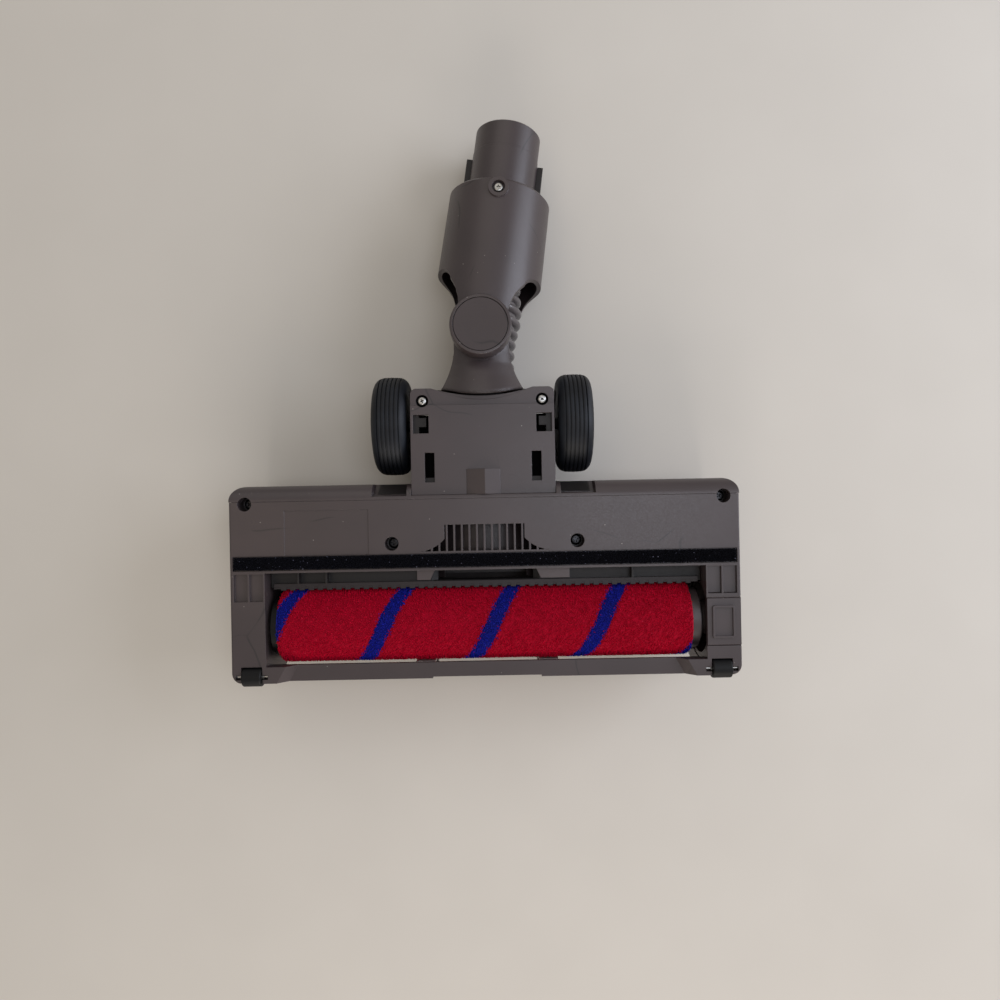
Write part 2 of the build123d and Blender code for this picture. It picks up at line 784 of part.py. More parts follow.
bearing_x = -end_cavity_x + partition / 2
with BuildPart() as drive_bearing:
    with BuildSketch(roller_plane.offset(bearing_x - bearing_width / 2)):
        Circle(bearing_radius)
        Circle(stub_radius + shaft_fit, mode=Mode.SUBTRACT)
    extrude(amount=bearing_width)
drive_bearing.part.label = "drive_bearing"

core_half = pile_length / 2 + 1.2
with BuildPart() as drive_shaft:
    with BuildSketch(roller_plane.offset(belt_x - belt_width / 2 - 1)):
        Circle(stub_radius)
    extrude(amount=-core_half - 0.3 - belt_x + belt_width / 2 + 1)
    with BuildSketch(roller_plane.offset(-core_half - 0.3)):
        RegularPolygon(dog_radius, 6)
    extrude(amount=dog_length)
drive_shaft.part.label = "drive_shaft"

# Control board on its standoffs
with BuildPart() as control_board:
    with BuildSketch(Plane.XY.offset(shell_wall / 2 + 8)):
        with Locations((board_x, board_y)):
            Rectangle(board_length, board_width)
    extrude(amount=1.6)
    with BuildSketch(Plane.XY.offset(shell_wall / 2 + 9.6)):
        with Locations((board_x - board_length / 3, board_y + 4)):
            Rectangle(12, 9)
        with Locations((board_x + 4, board_y - 5)):
            Rectangle(9, 9)
        with Locations((board_x + board_length / 3, board_y + 3)):
            Circle(4)
    extrude(amount=5)
control_board.part.label = "control_board"

# Roller: core, two-colour pile, end hubs
with BuildPart() as roller_core:
    with BuildSketch(roller_plane.offset(-core_half)):
        Circle(core_radius - shaft_fit)
        Circle(core_radius - core_wall, mode=Mode.SUBTRACT)
    extrude(amount=2 * core_half)
roller_core.part.label = "roller_core"

stripe_turn = -360 * pile_length / stripe_pitch
stripe_sweep = 360 * stripe_width / stripe_pitch
stripe_start = 90 + 360 * (pile_length / 2 + stripe_offset) / stripe_pitch - stripe_sweep / 2
pile_start = roller_plane.offset(-pile_length / 2 - 1)
pile_travel = Vector(pile_length + 2, 0, 0)
pile_turn = stripe_turn * (pile_length + 2) / pile_length
with BuildPart() as pile_envelope:
    with BuildSketch(Plane((0, roller_y, roller_z))) as envelope:
        with Locations((0, core_radius)):
            Rectangle(pile_length, pile_depth, align=(Align.CENTER, Align.MIN))
        fillet(envelope.vertices().group_by(Axis.Y)[-1], pile_rounding)
    revolve(axis=Axis((0, roller_y, roller_z), (1, 0, 0)))

blue_twist = Solid.extrude_linear_with_rotation(
    (pile_start * sector(core_radius - 1, pile_radius + 1, stripe_start, stripe_sweep)).face(),
    pile_start.origin,
    pile_travel,
    pile_turn,
)
red_twist = Solid.extrude_linear_with_rotation(
    (
        pile_start
        * sector(
            core_radius - 1,
            pile_radius + 1,
            stripe_start + stripe_sweep + 0.2,
            359.6 - stripe_sweep,
        )
    ).face(),
    pile_start.origin,
    pile_travel,
    pile_turn,
)
with BuildPart() as roller_pile_blue:
    add(pile_envelope.part)
    add(blue_twist, mode=Mode.INTERSECT)
roller_pile_blue.part.label = "roller_pile_blue"

with BuildPart() as roller_pile_red:
    add(pile_envelope.part)
    add(red_twist, mode=Mode.INTERSECT)
roller_pile_red.part.label = "roller_pile_red"

hub_fit_radius = core_radius - core_wall - shaft_fit
with BuildPart() as roller_hub_left:
    with BuildSketch(roller_plane.offset(-core_half)):
        Circle(hub_fit_radius)
        RegularPolygon(dog_radius + 0.35, 6, mode=Mode.SUBTRACT)
    extrude(amount=hub_length)
roller_hub_left.part.label = "roller_hub_left"

bush_length = 8.0
with BuildPart() as roller_hub_right:
    with BuildSketch(roller_plane.offset(core_half - hub_length)):
        Circle(hub_fit_radius)
    extrude(amount=hub_length)
    with BuildSketch(roller_plane.offset(core_half)):
        Circle(stub_radius)
    extrude(amount=block_x + bush_length - core_half)
roller_hub_right.part.label = "roller_hub_right"

# End cap with its bush and rimmed button
cap_x = block_x + run
with BuildPart() as end_cap:
    with BuildSketch(roller_plane.offset(cap_x)):
        Circle(end_cap_radius)
    extrude(amount=half_w - cap_x - 0.2)
    with BuildSketch(Plane.XY.offset(sole_height)):
        with Locations((half_w, roller_y)):
            Rectangle(4 * end_block_width, 4 * end_cap_radius)
    extrude(amount=2 * end_cap_radius, mode=Mode.SUBTRACT)
    with BuildSketch(roller_plane.offset(cap_x)):
        Circle(end_cap_radius - 2.5)
        Circle(stub_radius + 4.5, mode=Mode.SUBTRACT)
        with Locations((0, sole_height - roller_z - 3)):
            Rectangle(
                4 * end_cap_radius,
                2 * end_cap_radius,
                align=(Align.CENTER, Align.MIN),
                mode=Mode.SUBTRACT,
            )
    extrude(amount=end_block_width - 4, mode=Mode.SUBTRACT)
    with BuildSketch(roller_plane.offset(cap_x)):
        Circle(stub_radius + 2.5)
    extrude(amount=bush_length + 1, mode=Mode.SUBTRACT)
    with BuildSketch(Plane.XY.offset(sole_height)):
        with Locations(((cap_x + half_w) / 2 - 0.4, roller_y)):
            RectangleRounded(button_width, button_length, 1.2)
            Rectangle(button_width - 2 * button_rim, button_length - 2 * button_rim, mode=Mode.SUBTRACT)
    extrude(amount=button_height)
end_cap.part.label = "end_cap"

with BuildPart() as end_bush:
    with BuildSketch(roller_plane.offset(cap_x)):
        Circle(stub_radius + 2.5 - shaft_fit)
        Circle(stub_radius + shaft_fit, mode=Mode.SUBTRACT)
    extrude(amount=bush_length)
end_bush.part.label = "end_bush"

# Casters on their pins
for name, side in (("left", -1), ("right", 1)):
    caster_plane = Plane.YZ.shift_origin((0, caster_y, caster_z)).offset(side * caster_offset)
    with BuildPart() as caster:
        with BuildSketch(caster_plane):
            Circle(caster_radius)
            Circle(pin_radius + shaft_fit, mode=Mode.SUBTRACT)
        extrude(amount=caster_width / 2, both=True)
        fillet(caster.edges().filter_by(GeomType.CIRCLE).group_by(SortBy.RADIUS)[-1], 0.8)
    caster.part.label = f"caster_{name}"
    export_step(caster.part, f"parts/caster_{name}.step")
    with BuildPart() as caster_pin:
        with BuildSketch(caster_plane):
            Circle(pin_radius)
        extrude(amount=pin_length / 2, both=True)
    caster_pin.part.label = f"caster_pin_{name}"
    export_step(caster_pin.part, f"parts/caster_pin_{name}.step")

# Chassis behind the head: cheeks, bulkhead with air seal, screw bosses
cover_seat = cover_under - fit
bulkhead_y = rear_y + fit
cheek_plane_right = Plane.YZ.offset(chassis_half - cheek_thickness)
cheek_plane_left = Plane.YZ.offset(-chassis_half)
chassis_screw_x = chassis_half - 5.9
chassis_screw_y = chassis_rear - 6.2
with BuildPart() as chassis_base:
    with BuildSketch(cheek_plane_right, cheek_plane_left):
        with BuildLine():
            Polyline(
                (bulkhead_y, cover_seat),
                (chassis_rear - 1, cover_seat),
                (wheel_y + 14.5, wheel_z),
                (wheel_y, wheel_z - 14.5),
                (bulkhead_y, 14.0),
                close=True,
            )
        make_face()
        with Locations((wheel_y, wheel_z)):
            Circle(14.5)
    extrude(amount=cheek_thickness)
    with BuildSketch(Plane.XY.offset(14.0)):
        with Locations((0, bulkhead_y)):
            Rectangle(chassis_width, 2.6, align=(Align.CENTER, Align.MIN))
    extrude(amount=cover_seat - 14.0)
    with BuildSketch(Plane.XY.offset(seal_low)):
        with Locations((0, bulkhead_y)):
            Rectangle(2 * barrel_half - 4, wheel_y - 12 - bulkhead_y, align=(Align.CENTER, Align.MIN))
    extrude(amount=duct_high - 2 - seal_low)
    with BuildSketch(wheel_plane.offset(-barrel_half - 1)):
        Circle(barrel_radius + run)
    extrude(amount=2 * barrel_half + 2, mode=Mode.SUBTRACT)
    with BuildSketch(Plane.XZ.offset(-bulkhead_y + 1)):
        with Locations((0, (seal_low + duct_high - 2) / 2)):
            Rectangle(2 * barrel_half - 12, duct_high - seal_low - 6)
    extrude(amount=-wheel_setback, mode=Mode.SUBTRACT)
    with BuildSketch(Plane.XY.offset(wheel_z)):
        for side in (-1, 1):
            with Locations((side * chassis_screw_x, chassis_screw_y)):
                Circle(3.2)
            with Locations((side * (chassis_half - cheek_thickness), chassis_screw_y)):
                Rectangle(4, 4)
            with Locations((side * (chassis_half - cheek_thickness - 1.4), wheel_y)):
                Rectangle(4.4, 4.6)
    extrude(amount=cover_seat - wheel_z)
    with BuildSketch(wheel_plane.offset(-chassis_half - 1)):
        Circle(axle_radius + shaft_fit)
    extrude(amount=chassis_width + 2, mode=Mode.SUBTRACT)
    with BuildSketch(Plane.XY.offset(cover_seat - 9)):
        for side in (-1, 1):
            with Locations((side * chassis_screw_x, chassis_screw_y)):
                Circle(1.2 + shaft_fit)
    extrude(amount=10, mode=Mode.SUBTRACT)
chassis_base.part.label = "chassis_base"

skirt_half = 20.6
skirt_side_u = 15.8
skirt_low_u = 10.8
notch_half = skirt_half + 1.2
with BuildPart() as chassis_cover:
    with BuildSketch(Plane.XY.offset(cover_under)) as plate:
        with Locations((0, chassis_front)):
            Rectangle(chassis_width, chassis_length, align=(Align.CENTER, Align.MIN))
        fillet(plate.vertices().group_by(Axis.Y)[-1], 3.0)
        with BuildLine():
            ThreePointArc(
                (-notch_half, chassis_rear - 1.0),
                (0, chassis_rear - 5.8),
                (notch_half, chassis_rear - 1.0),
            )
            Polyline(
                (notch_half, chassis_rear - 1.0),
                (notch_half, chassis_rear + 2),
                (-notch_half, chassis_rear + 2),
                (-notch_half, chassis_rear - 1.0),
            )
        make_face(mode=Mode.SUBTRACT)
    extrude(amount=cover_thickness)
    # Lower rear band, then the raised nose
    with BuildSketch(Plane.XY.offset(cover_z - 0.8)):
        with Locations((0, chassis_rear)):
            Rectangle(chassis_width + 2, 8.3, align=(Align.CENTER, Align.MAX))
    extrude(amount=2, mode=Mode.SUBTRACT)
    with BuildSketch(Plane.YZ.offset(-7.5)) as nose:
        with BuildLine():
            Polyline(
                (chassis_front, cover_under + 0.5),
                (chassis_front, cover_z + 1.6),
                (chassis_front + 2.0, cover_z + 3.2),
                (chassis_front + 5.0, cover_z + 3.2),
                (chassis_front + 12.4, cover_z),
                (chassis_front + 12.4, cover_under + 0.5),
                close=True,
            )
        make_face()
    extrude(amount=15.0)
    # Square clip openings, long slots and screw counterbores
    with BuildSketch(Plane.XY.offset(cover_under - 1)):
        for side in (-1, 1):
            with Locations((side * 30.35, chassis_front + 34.9)):
                Rectangle(7.7, 9.2)
            with Locations((side * 26.35, chassis_front + 13.5)):
                SlotOverall(14.4, 4.7, rotation=90)
            with Locations((side * chassis_screw_x, chassis_screw_y)):
                Circle(1.4)
    extrude(amount=cover_thickness + 2, mode=Mode.SUBTRACT)
    with BuildSketch(Plane.XY.offset(cover_under + 0.7)):
        for side in (-1, 1):
            with Locations((side * chassis_screw_x, chassis_screw_y)):
                Circle(3.1)
    extrude(amount=cover_thickness, mode=Mode.SUBTRACT)
chassis_cover.part.label = "chassis_cover"

with BuildPart() as chassis_screws:
    for side in (-1, 1):
        with BuildSketch(Plane.XY.offset(cover_under + 0.7)):
            with Locations((side * chassis_screw_x, chassis_screw_y)):
                Circle(2.05)
        extrude(amount=1.3)
        with BuildSketch(Plane.XY.offset(cover_under + 0.7)):
            with Locations((side * chassis_screw_x, chassis_screw_y)):
                Circle(1.2)
        extrude(amount=-8.0)
        with BuildSketch(Plane.XY.offset(cover_under + 2.0)):
            with Locations((side * chassis_screw_x, chassis_screw_y)):
                Rectangle(2.4, 0.6)
                Rectangle(0.6, 2.4)
        extrude(amount=-0.7, mode=Mode.SUBTRACT)
chassis_screws.part.label = "chassis_screws"

# Wheels on their axles
axle_inner = barrel_half - 9.0
for name, side in (("left", -1), ("right", 1)):
    wheel_side = Plane((0, wheel_y, wheel_z), x_dir=(side, 0, 0), z_dir=(0, -side, 0))
    spin_axis = Axis((0, wheel_y, wheel_z), (1, 0, 0))
    inner_x = wheel_offset - wheel_width / 2
    outer_x = wheel_offset + wheel_width / 2
    with BuildPart() as tyre:
        with BuildSketch(wheel_side) as tread:
            with Locations((wheel_offset, hub_radius)):
                Rectangle(wheel_width, wheel_radius - hub_radius, align=(Align.CENTER, Align.MIN))
            fillet(tread.vertices().group_by(Axis.Y)[-1], 3.6)
            with Locations((wheel_offset, wheel_radius)):
                with GridLocations(2.6, 0, 5, 1):
                    Rectangle(0.8, 1.8, mode=Mode.SUBTRACT)
        revolve(axis=spin_axis)
    tyre.part.label = f"wheel_tyre_{name}"
    export_step(tyre.part, f"parts/wheel_tyre_{name}.step")
    with BuildPart() as hub:
        with BuildSketch(wheel_side):
            with BuildLine():
                Polyline(
                    (inner_x + 1.2, axle_radius + shaft_fit),
                    (inner_x + 1.2, hub_radius - shaft_fit),
                    (outer_x - 1.2, hub_radius - shaft_fit),
                    (outer_x - 1.2, hub_radius - 2.5),
                    (outer_x - 5.0, hub_radius - 3.5),
                    (outer_x - 5.0, axle_radius + 4.0),
                    (outer_x - 3.2, axle_radius + 4.0),
                    (outer_x - 3.2, axle_radius + shaft_fit),
                    close=True,
                )
            make_face()
        revolve(axis=spin_axis)
    hub.part.label = f"wheel_hub_{name}"
    export_step(hub.part, f"parts/wheel_hub_{name}.step")
    with BuildPart() as axle:
        with BuildSketch(wheel_side):
            with BuildLine():
                Polyline(
                    (axle_inner, 0),
                    (axle_inner, axle_radius),
                    (outer_x - 3.2 + run, axle_radius),
                    (outer_x - 3.2 + run, axle_radius + 2.2),
                    (outer_x - 1.2, axle_radius + 2.2),
                    (outer_x - 1.2, 0),
                    close=True,
                )
            make_face()
        revolve(axis=spin_axis)
    axle.part.label = f"wheel_axle_{name}"
    export_step(axle.part, f"parts/wheel_axle_{name}.step")

# Neck: barrel on the axles, with spigot and flange
spigot_bore = 13.2
spigot_end = 21.5
skirt_wall = 2.2
eye_radius = 14.0
eye_face = 19.6
neck_axis = Axis(pitch_point, neck_dir)
hose_plane = Plane(pitch_point, x_dir=(1, 0, 0), z_dir=neck_dir)


def skirt_profile(inset):
    """Flared outer line of the neck skirt in u and w, drawn in by inset."""
    return [
        (9.0, 27.2 - inset),
        (14.0, 25.4 - inset),
        (21.0, 22.6 - inset),
        (28.0, 20.6 - inset),
        (35.0, 19.8 - inset),
        (60.0, 19.8 - inset),
    ]


with BuildPart() as neck_barrel:
    with BuildSketch(wheel_plane.offset(-barrel_half)):
        Circle(barrel_radius)
    extrude(amount=2 * barrel_half)
    with BuildSketch(hose_plane):
        Circle(spigot_radius)
    extrude(amount=spigot_end)
    with BuildSketch(hose_plane.offset(18.8)):
        Circle(skirt_profile(skirt_wall)[2][1] - fit)
        Rectangle(2 * skirt_half - 4, 4 * skirt_half, mode=Mode.INTERSECT)
    extrude(amount=2.0)
    with BuildSketch(wheel_plane.offset(-axle_inner)):
        Circle(barrel_radius - 3)
    extrude(amount=2 * axle_inner, mode=Mode.SUBTRACT)
    with BuildSketch(hose_plane):
        Circle(spigot_bore)
    extrude(amount=spigot_end + 1, mode=Mode.SUBTRACT)
    extrude(
        neck_side.offset(-axle_inner) * sector(barrel_radius - 4, barrel_radius + 1, 120, 125),
        amount=2 * axle_inner,
        mode=Mode.SUBTRACT,
    )
    with BuildSketch(wheel_plane.offset(-barrel_half - 1)):
        Circle(axle_radius + shaft_fit)
    extrude(amount=2 * barrel_half + 2, mode=Mode.SUBTRACT)
neck_barrel.part.label = "neck_barrel"

# Neck skirts, front and back, each ending in a swivel eye
swivel_plan = Plane(swivel_point, x_dir=(1, 0, 0), z_dir=neck_up)
for name, side in (("front", 1), ("back", -1)):
    low_u = skirt_low_u if side > 0 else skirt_side_u + 3.2
    side_u = skirt_side_u if side > 0 else skirt_side_u + 3.2
    with BuildPart() as skirt:
        with BuildSketch(neck_side):
            with BuildLine():
                Polyline(
                    *skirt_profile(0),
                    *reversed(skirt_profile(skirt_wall)),
                    close=True,
                )
            make_face()
        revolve(axis=neck_axis)
        with BuildSketch(neck_plan):
            with BuildLine():
                if side > 0:
                    ThreePointArc((-skirt_half, side_u), (0, low_u), (skirt_half, side_u))
                else:
                    Line((-skirt_half, side_u), (skirt_half, side_u))
                ThreePointArc((skirt_half, side_u), (16.4, 24.4), (eye_radius, 35.0))
                Line((eye_radius, 35.0), (eye_radius, swivel_reach))
                ThreePointArc(
                    (eye_radius, swivel_reach),
                    (0, swivel_reach + eye_radius),
                    (-eye_radius, swivel_reach),
                )
                Line((-eye_radius, swivel_reach), (-eye_radius, 35.0))
                ThreePointArc((-eye_radius, 35.0), (-16.4, 24.4), (-skirt_half, side_u))
            make_face()
        extrude(amount=side * 40, mode=Mode.INTERSECT)
        with BuildSketch(swivel_plan.offset(side * (hose_radius + 0.8))):
            Circle(eye_radius)
        extrude(amount=side * (eye_face - hose_radius - 0.8))
        with BuildSketch(swivel_plan.offset(side * eye_face)):
            Circle(ring_radius + 1.2)
        extrude(amount=side * 10, mode=Mode.SUBTRACT)
        with BuildSketch(swivel_plan):
            Circle(stem_radius + shaft_fit)
        extrude(amount=side * 40, mode=Mode.SUBTRACT)
    skirt.part.label = f"neck_skirt_{name}"
    export_step(skirt.part, f"parts/neck_skirt_{name}.step")

# Swivel plugs: stem through the cuff ring, disc head outside
ring_face = cuff_radius + 0.4
head_seat = ring_face - 2.7
for name, side in (("front", 1), ("back", -1)):
    with BuildPart() as plug:
        with BuildSketch(swivel_plan.offset(side * (hose_radius + 0.8))):
            Circle(stem_radius)
        extrude(amount=side * (head_seat + run - hose_radius - 0.8))
        with BuildSketch(swivel_plan.offset(side * (head_seat + run))):
            Circle(disc_radius)
        extrude(amount=side * 2.2)
    plug.part.label = f"swivel_plug_{name}"
    export_step(plug.part, f"parts/swivel_plug_{name}.step")

# Cuff: tapered sleeve, two tongues with swivel rings, screw boss
cuff_axis = Axis(swivel_point, cuff_dir)
boss_reach = cuff_end - 5.6
with BuildPart() as cuff_shell:
    with BuildSketch(cuff_side) as wall:
        with BuildLine():
            Polyline(
                (-4.0, cuff_radius - cuff_wall),
                (-4.0, cuff_radius),
                (cuff_start, cuff_radius),
                (cuff_end - 1.6, cuff_top_radius),
                (cuff_end, cuff_top_radius - 1.6),
                (cuff_end, tube_radius + fit),
                (cuff_end - cuff_wall, tube_radius + fit),
                (cuff_end - cuff_wall, cuff_top_radius - cuff_wall),
                (cuff_start, cuff_radius - cuff_wall),
                close=True,
            )
        make_face()
    revolve(axis=cuff_axis)
    with BuildSketch(cuff_plan):
        for side in (-1, 1):
            with BuildLine():
                Polyline(
                    (side * 26.0, cuff_start - 2.0),
                    (side * 40.0, cuff_start - 2.0),
                    (side * 40.0, -12.0),
                    (side * (ring_radius - 0.9), -12.0),
                    (side * (ring_radius - 0.9), 5.0),
                    (side * 18.4, 22.0),
                )
                ThreePointArc(
                    (side * 18.4, 22.0),
                    (side * 20.4, 28.4),
                    (side * 26.0, cuff_start - 2.0),
                )
            make_face()
    extrude(amount=40, both=True, mode=Mode.SUBTRACT)
    for side in (1, -1):
        with BuildSketch(cuff_plan.offset(side * (eye_face + run))):
            Circle(ring_radius)
        extrude(amount=side * (ring_face - eye_face - run))
        with BuildSketch(cuff_plan.offset(side * head_seat)):
            Circle(disc_radius + run)
        extrude(amount=side * 10, mode=Mode.SUBTRACT)
        with BuildSketch(cuff_plan):
            Circle(stem_radius + shaft_fit)
        extrude(amount=side * 40, mode=Mode.SUBTRACT)
    with BuildSketch(cuff_plan.offset(cuff_top_radius - 4.4)):
        with Locations((0, boss_reach)):
            Circle(5.2)
    extrude(amount=5.4)
    with BuildSketch(cuff_plan.offset(cuff_top_radius - 1.2)):
        with Locations((0, boss_reach)):
            Circle(3.3)
    extrude(amount=4, mode=Mode.SUBTRACT)
    with BuildSketch(cuff_plan.offset(cuff_top_radius - 6)):
        with Locations((0, boss_reach)):
            Circle(1.5)
    extrude(amount=6, mode=Mode.SUBTRACT)
cuff_shell.part.label = "cuff_shell"

# Wand tube with its seat in the cuff
seat_radius = cuff_top_radius - cuff_wall - 2.4
with BuildPart() as wand_tube:
    with BuildSketch(cuff_side):
        with BuildLine():
            Polyline(
                (cuff_start + 4.5, tube_bore),
                (cuff_start + 4.5, tube_radius),
                (boss_reach - 4.5, tube_radius),
                (boss_reach - 4.5, seat_radius),
                (cuff_end - cuff_wall - fit, seat_radius),
                (cuff_end - cuff_wall - fit, tube_radius),
                (tube_step, tube_radius),
                (tube_step, tube_end_radius),
                (tube_end - 0.8, tube_end_radius),
                (tube_end, tube_end_radius - 0.8),
                (tube_end, tube_bore),
                close=True,
            )
        make_face()
    revolve(axis=cuff_axis)
    with BuildSketch(cuff_plan.offset(seat_radius - 5)):
        with Locations((0, boss_reach)):
            Circle(1.2 + shaft_fit)
    extrude(amount=10, mode=Mode.SUBTRACT)
wand_tube.part.label = "wand_tube"

with BuildPart() as cuff_screw:
    with BuildSketch(cuff_plan.offset(cuff_top_radius - 1.2)):
        with Locations((0, boss_reach)):
            Circle(2.4)
    extrude(amount=1.5)
    with BuildSketch(cuff_plan.offset(cuff_top_radius - 1.2)):
        with Locations((0, boss_reach)):
            Circle(1.2)
    extrude(amount=-7.0)
    with BuildSketch(cuff_plan.offset(cuff_top_radius + 0.3)):
        with Locations((0, boss_reach)):
            Rectangle(2.8, 0.7)
            Rectangle(0.7, 2.8)
    extrude(amount=-0.8, mode=Mode.SUBTRACT)
cuff_screw.part.label = "cuff_screw"

# Contact saddle behind the tube, with two contact blades
saddle_start = cuff_end_plane.offset(cuff_end + fit)
with BuildPart() as contact_saddle:
    with BuildSketch(saddle_start):
        Rectangle(2 * saddle_half_width, 20.4, align=(Align.CENTER, Align.MIN))
        Circle(tube_radius + shaft_fit, mode=Mode.SUBTRACT)
    extrude(amount=saddle_length)
    with BuildSketch(saddle_start.offset(saddle_length - 9)):
        with Locations((-5.0, 18.95), (5.0, 18.95)):
            Rectangle(3.0, 1.3)
    extrude(amount=10, mode=Mode.SUBTRACT)
contact_saddle.part.label = "contact_saddle"

with BuildPart() as contact_blades:
    with BuildSketch(saddle_start.offset(saddle_length - 9)):
        with Locations((-5.0, 18.95), (5.0, 18.95)):
            Rectangle(2.6, 0.9)
    extrude(amount=8)
contact_blades.part.label = "contact_blades"

# Hose between the barrel and the tube, ribbed, with a collar at each end
hose_start = spigot_end + fit
hose_stop = cuff_start + 4.5 - fit
bend_reach = 8.0
hose_base = pitch_point + neck_dir * hose_start
bend_in = swivel_point - neck_dir * bend_reach
bend_out = swivel_point + cuff_dir * bend_reach
hose_tip = swivel_point + cuff_dir * hose_stop
with BuildLine() as hose_path:
    Line(hose_base, bend_in)
    TangentArc(bend_in, bend_out, tangent=neck_dir)
    Line(bend_out, hose_tip)
hose_line = hose_path.wires()[0]
rib_count = int(hose_line.length / hose_pitch)
with BuildPart() as hose:
    with BuildSketch(hose_plane.offset(hose_start)):
        Circle(hose_radius - hose_wall)
        Circle(hose_radius - 2 * hose_wall, mode=Mode.SUBTRACT)
    sweep(path=hose_line)
    for index in range(rib_count):
        spot = hose_line ^ ((index + 0.5) / rib_count)
        with BuildSketch(Plane(spot).offset(-hose_pitch / 4)):
            Circle(hose_radius)
            Circle(hose_radius - 1.5 * hose_wall, mode=Mode.SUBTRACT)
        extrude(amount=hose_pitch / 2)
hose.part.label = "hose"

with BuildPart() as hose_collar_lower:
    with BuildSketch(hose_plane.offset(spigot_end - 0.4)):
        Circle(hose_radius + 0.95)
        Circle(hose_radius + fit, mode=Mode.SUBTRACT)
    extrude(amount=3.2)
hose_collar_lower.part.label = "hose_collar_lower"

with BuildPart() as hose_collar_upper:
    with BuildSketch(cuff_end_plane.offset(cuff_start + 1.0)):
        Circle(tube_radius + 1.6)
        Circle(tube_radius + fit, mode=Mode.SUBTRACT)
    extrude(amount=8.0)
hose_collar_upper.part.label = "hose_collar_upper"

top_shell.part.label = "top_shell"
sole_frame.part.label = "sole_frame"
export_step(top_shell.part, "parts/top_shell.step")
export_step(sole_frame.part, "parts/sole_frame.step")
export_step(chamber_liner.part, "parts/chamber_liner.step")
export_step(comb_strip.part, "parts/comb_strip.step")
export_step(felt_strip.part, "parts/felt_strip.step")
export_step(air_duct.part, "parts/air_duct.step")
export_step(sole_screws.part, "parts/sole_screws.step")
export_step(drive_motor.part, "parts/drive_motor.step")
export_step(motor_shaft.part, "parts/motor_shaft.step")
export_step(motor_pulley.part, "parts/motor_pulley.step")
export_step(drive_pulley.part, "parts/drive_pulley.step")
export_step(drive_belt.part, "parts/drive_belt.step")
export_step(drive_bearing.part, "parts/drive_bearing.step")
export_step(drive_shaft.part, "parts/drive_shaft.step")
export_step(control_board.part, "parts/control_board.step")
export_step(roller_core.part, "parts/roller_core.step")
export_step(roller_pile_blue.part, "parts/roller_pile_blue.step")
export_step(roller_pile_red.part, "parts/roller_pile_red.step")
export_step(roller_hub_left.part, "parts/roller_hub_left.step")
export_step(roller_hub_right.part, "parts/roller_hub_right.step")
export_step(end_cap.part, "parts/end_cap.step")
export_step(end_bush.part, "parts/end_bush.step")
export_step(chassis_base.part, "parts/chassis_base.step")
export_step(chassis_cover.part, "parts/chassis_cover.step")
export_step(chassis_screws.part, "parts/chassis_screws.step")
export_step(neck_barrel.part, "parts/neck_barrel.step")
export_step(cuff_shell.part, "parts/cuff_shell.step")
export_step(wand_tube.part, "parts/wand_tube.step")
export_step(cuff_screw.part, "parts/cuff_screw.step")
export_step(contact_saddle.part, "parts/contact_saddle.step")
export_step(contact_blades.part, "parts/contact_blades.step")
export_step(hose.part, "parts/hose.step")
export_step(hose_collar_lower.part, "parts/hose_collar_lower.step")
export_step(hose_collar_upper.part, "parts/hose_collar_upper.step")
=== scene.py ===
"""Looks of a soft-roller vacuum floor head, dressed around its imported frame."""

import json
import logging
import math
import random
from dataclasses import dataclass
from enum import Enum
from functools import cache
from typing import Callable, Iterator, Sequence

import bmesh
import bpy
from bpy.types import Material, Node, NodeSocket
from mathutils import Matrix, Vector


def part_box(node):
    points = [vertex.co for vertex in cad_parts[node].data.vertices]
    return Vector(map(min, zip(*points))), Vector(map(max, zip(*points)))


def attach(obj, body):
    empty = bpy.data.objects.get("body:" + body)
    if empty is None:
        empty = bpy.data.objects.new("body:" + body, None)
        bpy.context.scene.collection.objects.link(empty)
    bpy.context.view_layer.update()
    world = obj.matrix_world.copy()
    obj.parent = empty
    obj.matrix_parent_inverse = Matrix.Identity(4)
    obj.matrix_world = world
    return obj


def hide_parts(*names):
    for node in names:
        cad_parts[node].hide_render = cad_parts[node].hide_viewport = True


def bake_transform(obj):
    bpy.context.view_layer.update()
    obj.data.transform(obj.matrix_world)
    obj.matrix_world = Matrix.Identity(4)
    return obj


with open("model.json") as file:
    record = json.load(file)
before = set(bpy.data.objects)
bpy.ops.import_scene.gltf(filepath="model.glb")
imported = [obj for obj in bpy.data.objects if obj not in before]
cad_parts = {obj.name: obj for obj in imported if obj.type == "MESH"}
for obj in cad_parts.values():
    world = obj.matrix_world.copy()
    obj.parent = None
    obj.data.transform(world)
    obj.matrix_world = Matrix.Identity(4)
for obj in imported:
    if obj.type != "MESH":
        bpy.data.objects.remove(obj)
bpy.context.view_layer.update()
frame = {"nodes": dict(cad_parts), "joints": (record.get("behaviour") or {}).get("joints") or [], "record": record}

MM = 0.001
LOG = logging.getLogger("floor_head")
# Points nearer than this count as being in one place, and normals past this share as facing an axis.
NEAR = 0.05 * MM
FACING = 0.9
# How near two points are merged, in metres.
WELD = 1e-7
Pick = Callable[[Vector, Vector], bool]
Pair = tuple[float, float]
Triple = tuple[float, float, float]


class Side(Enum):
    """The two sides of the head, as they lie in the picture."""

    LEFT = "left"
    RIGHT = "right"


class PileColour(Enum):
    """The two yarns of the roller's cover."""

    RED = "red"
    BLUE = "blue"


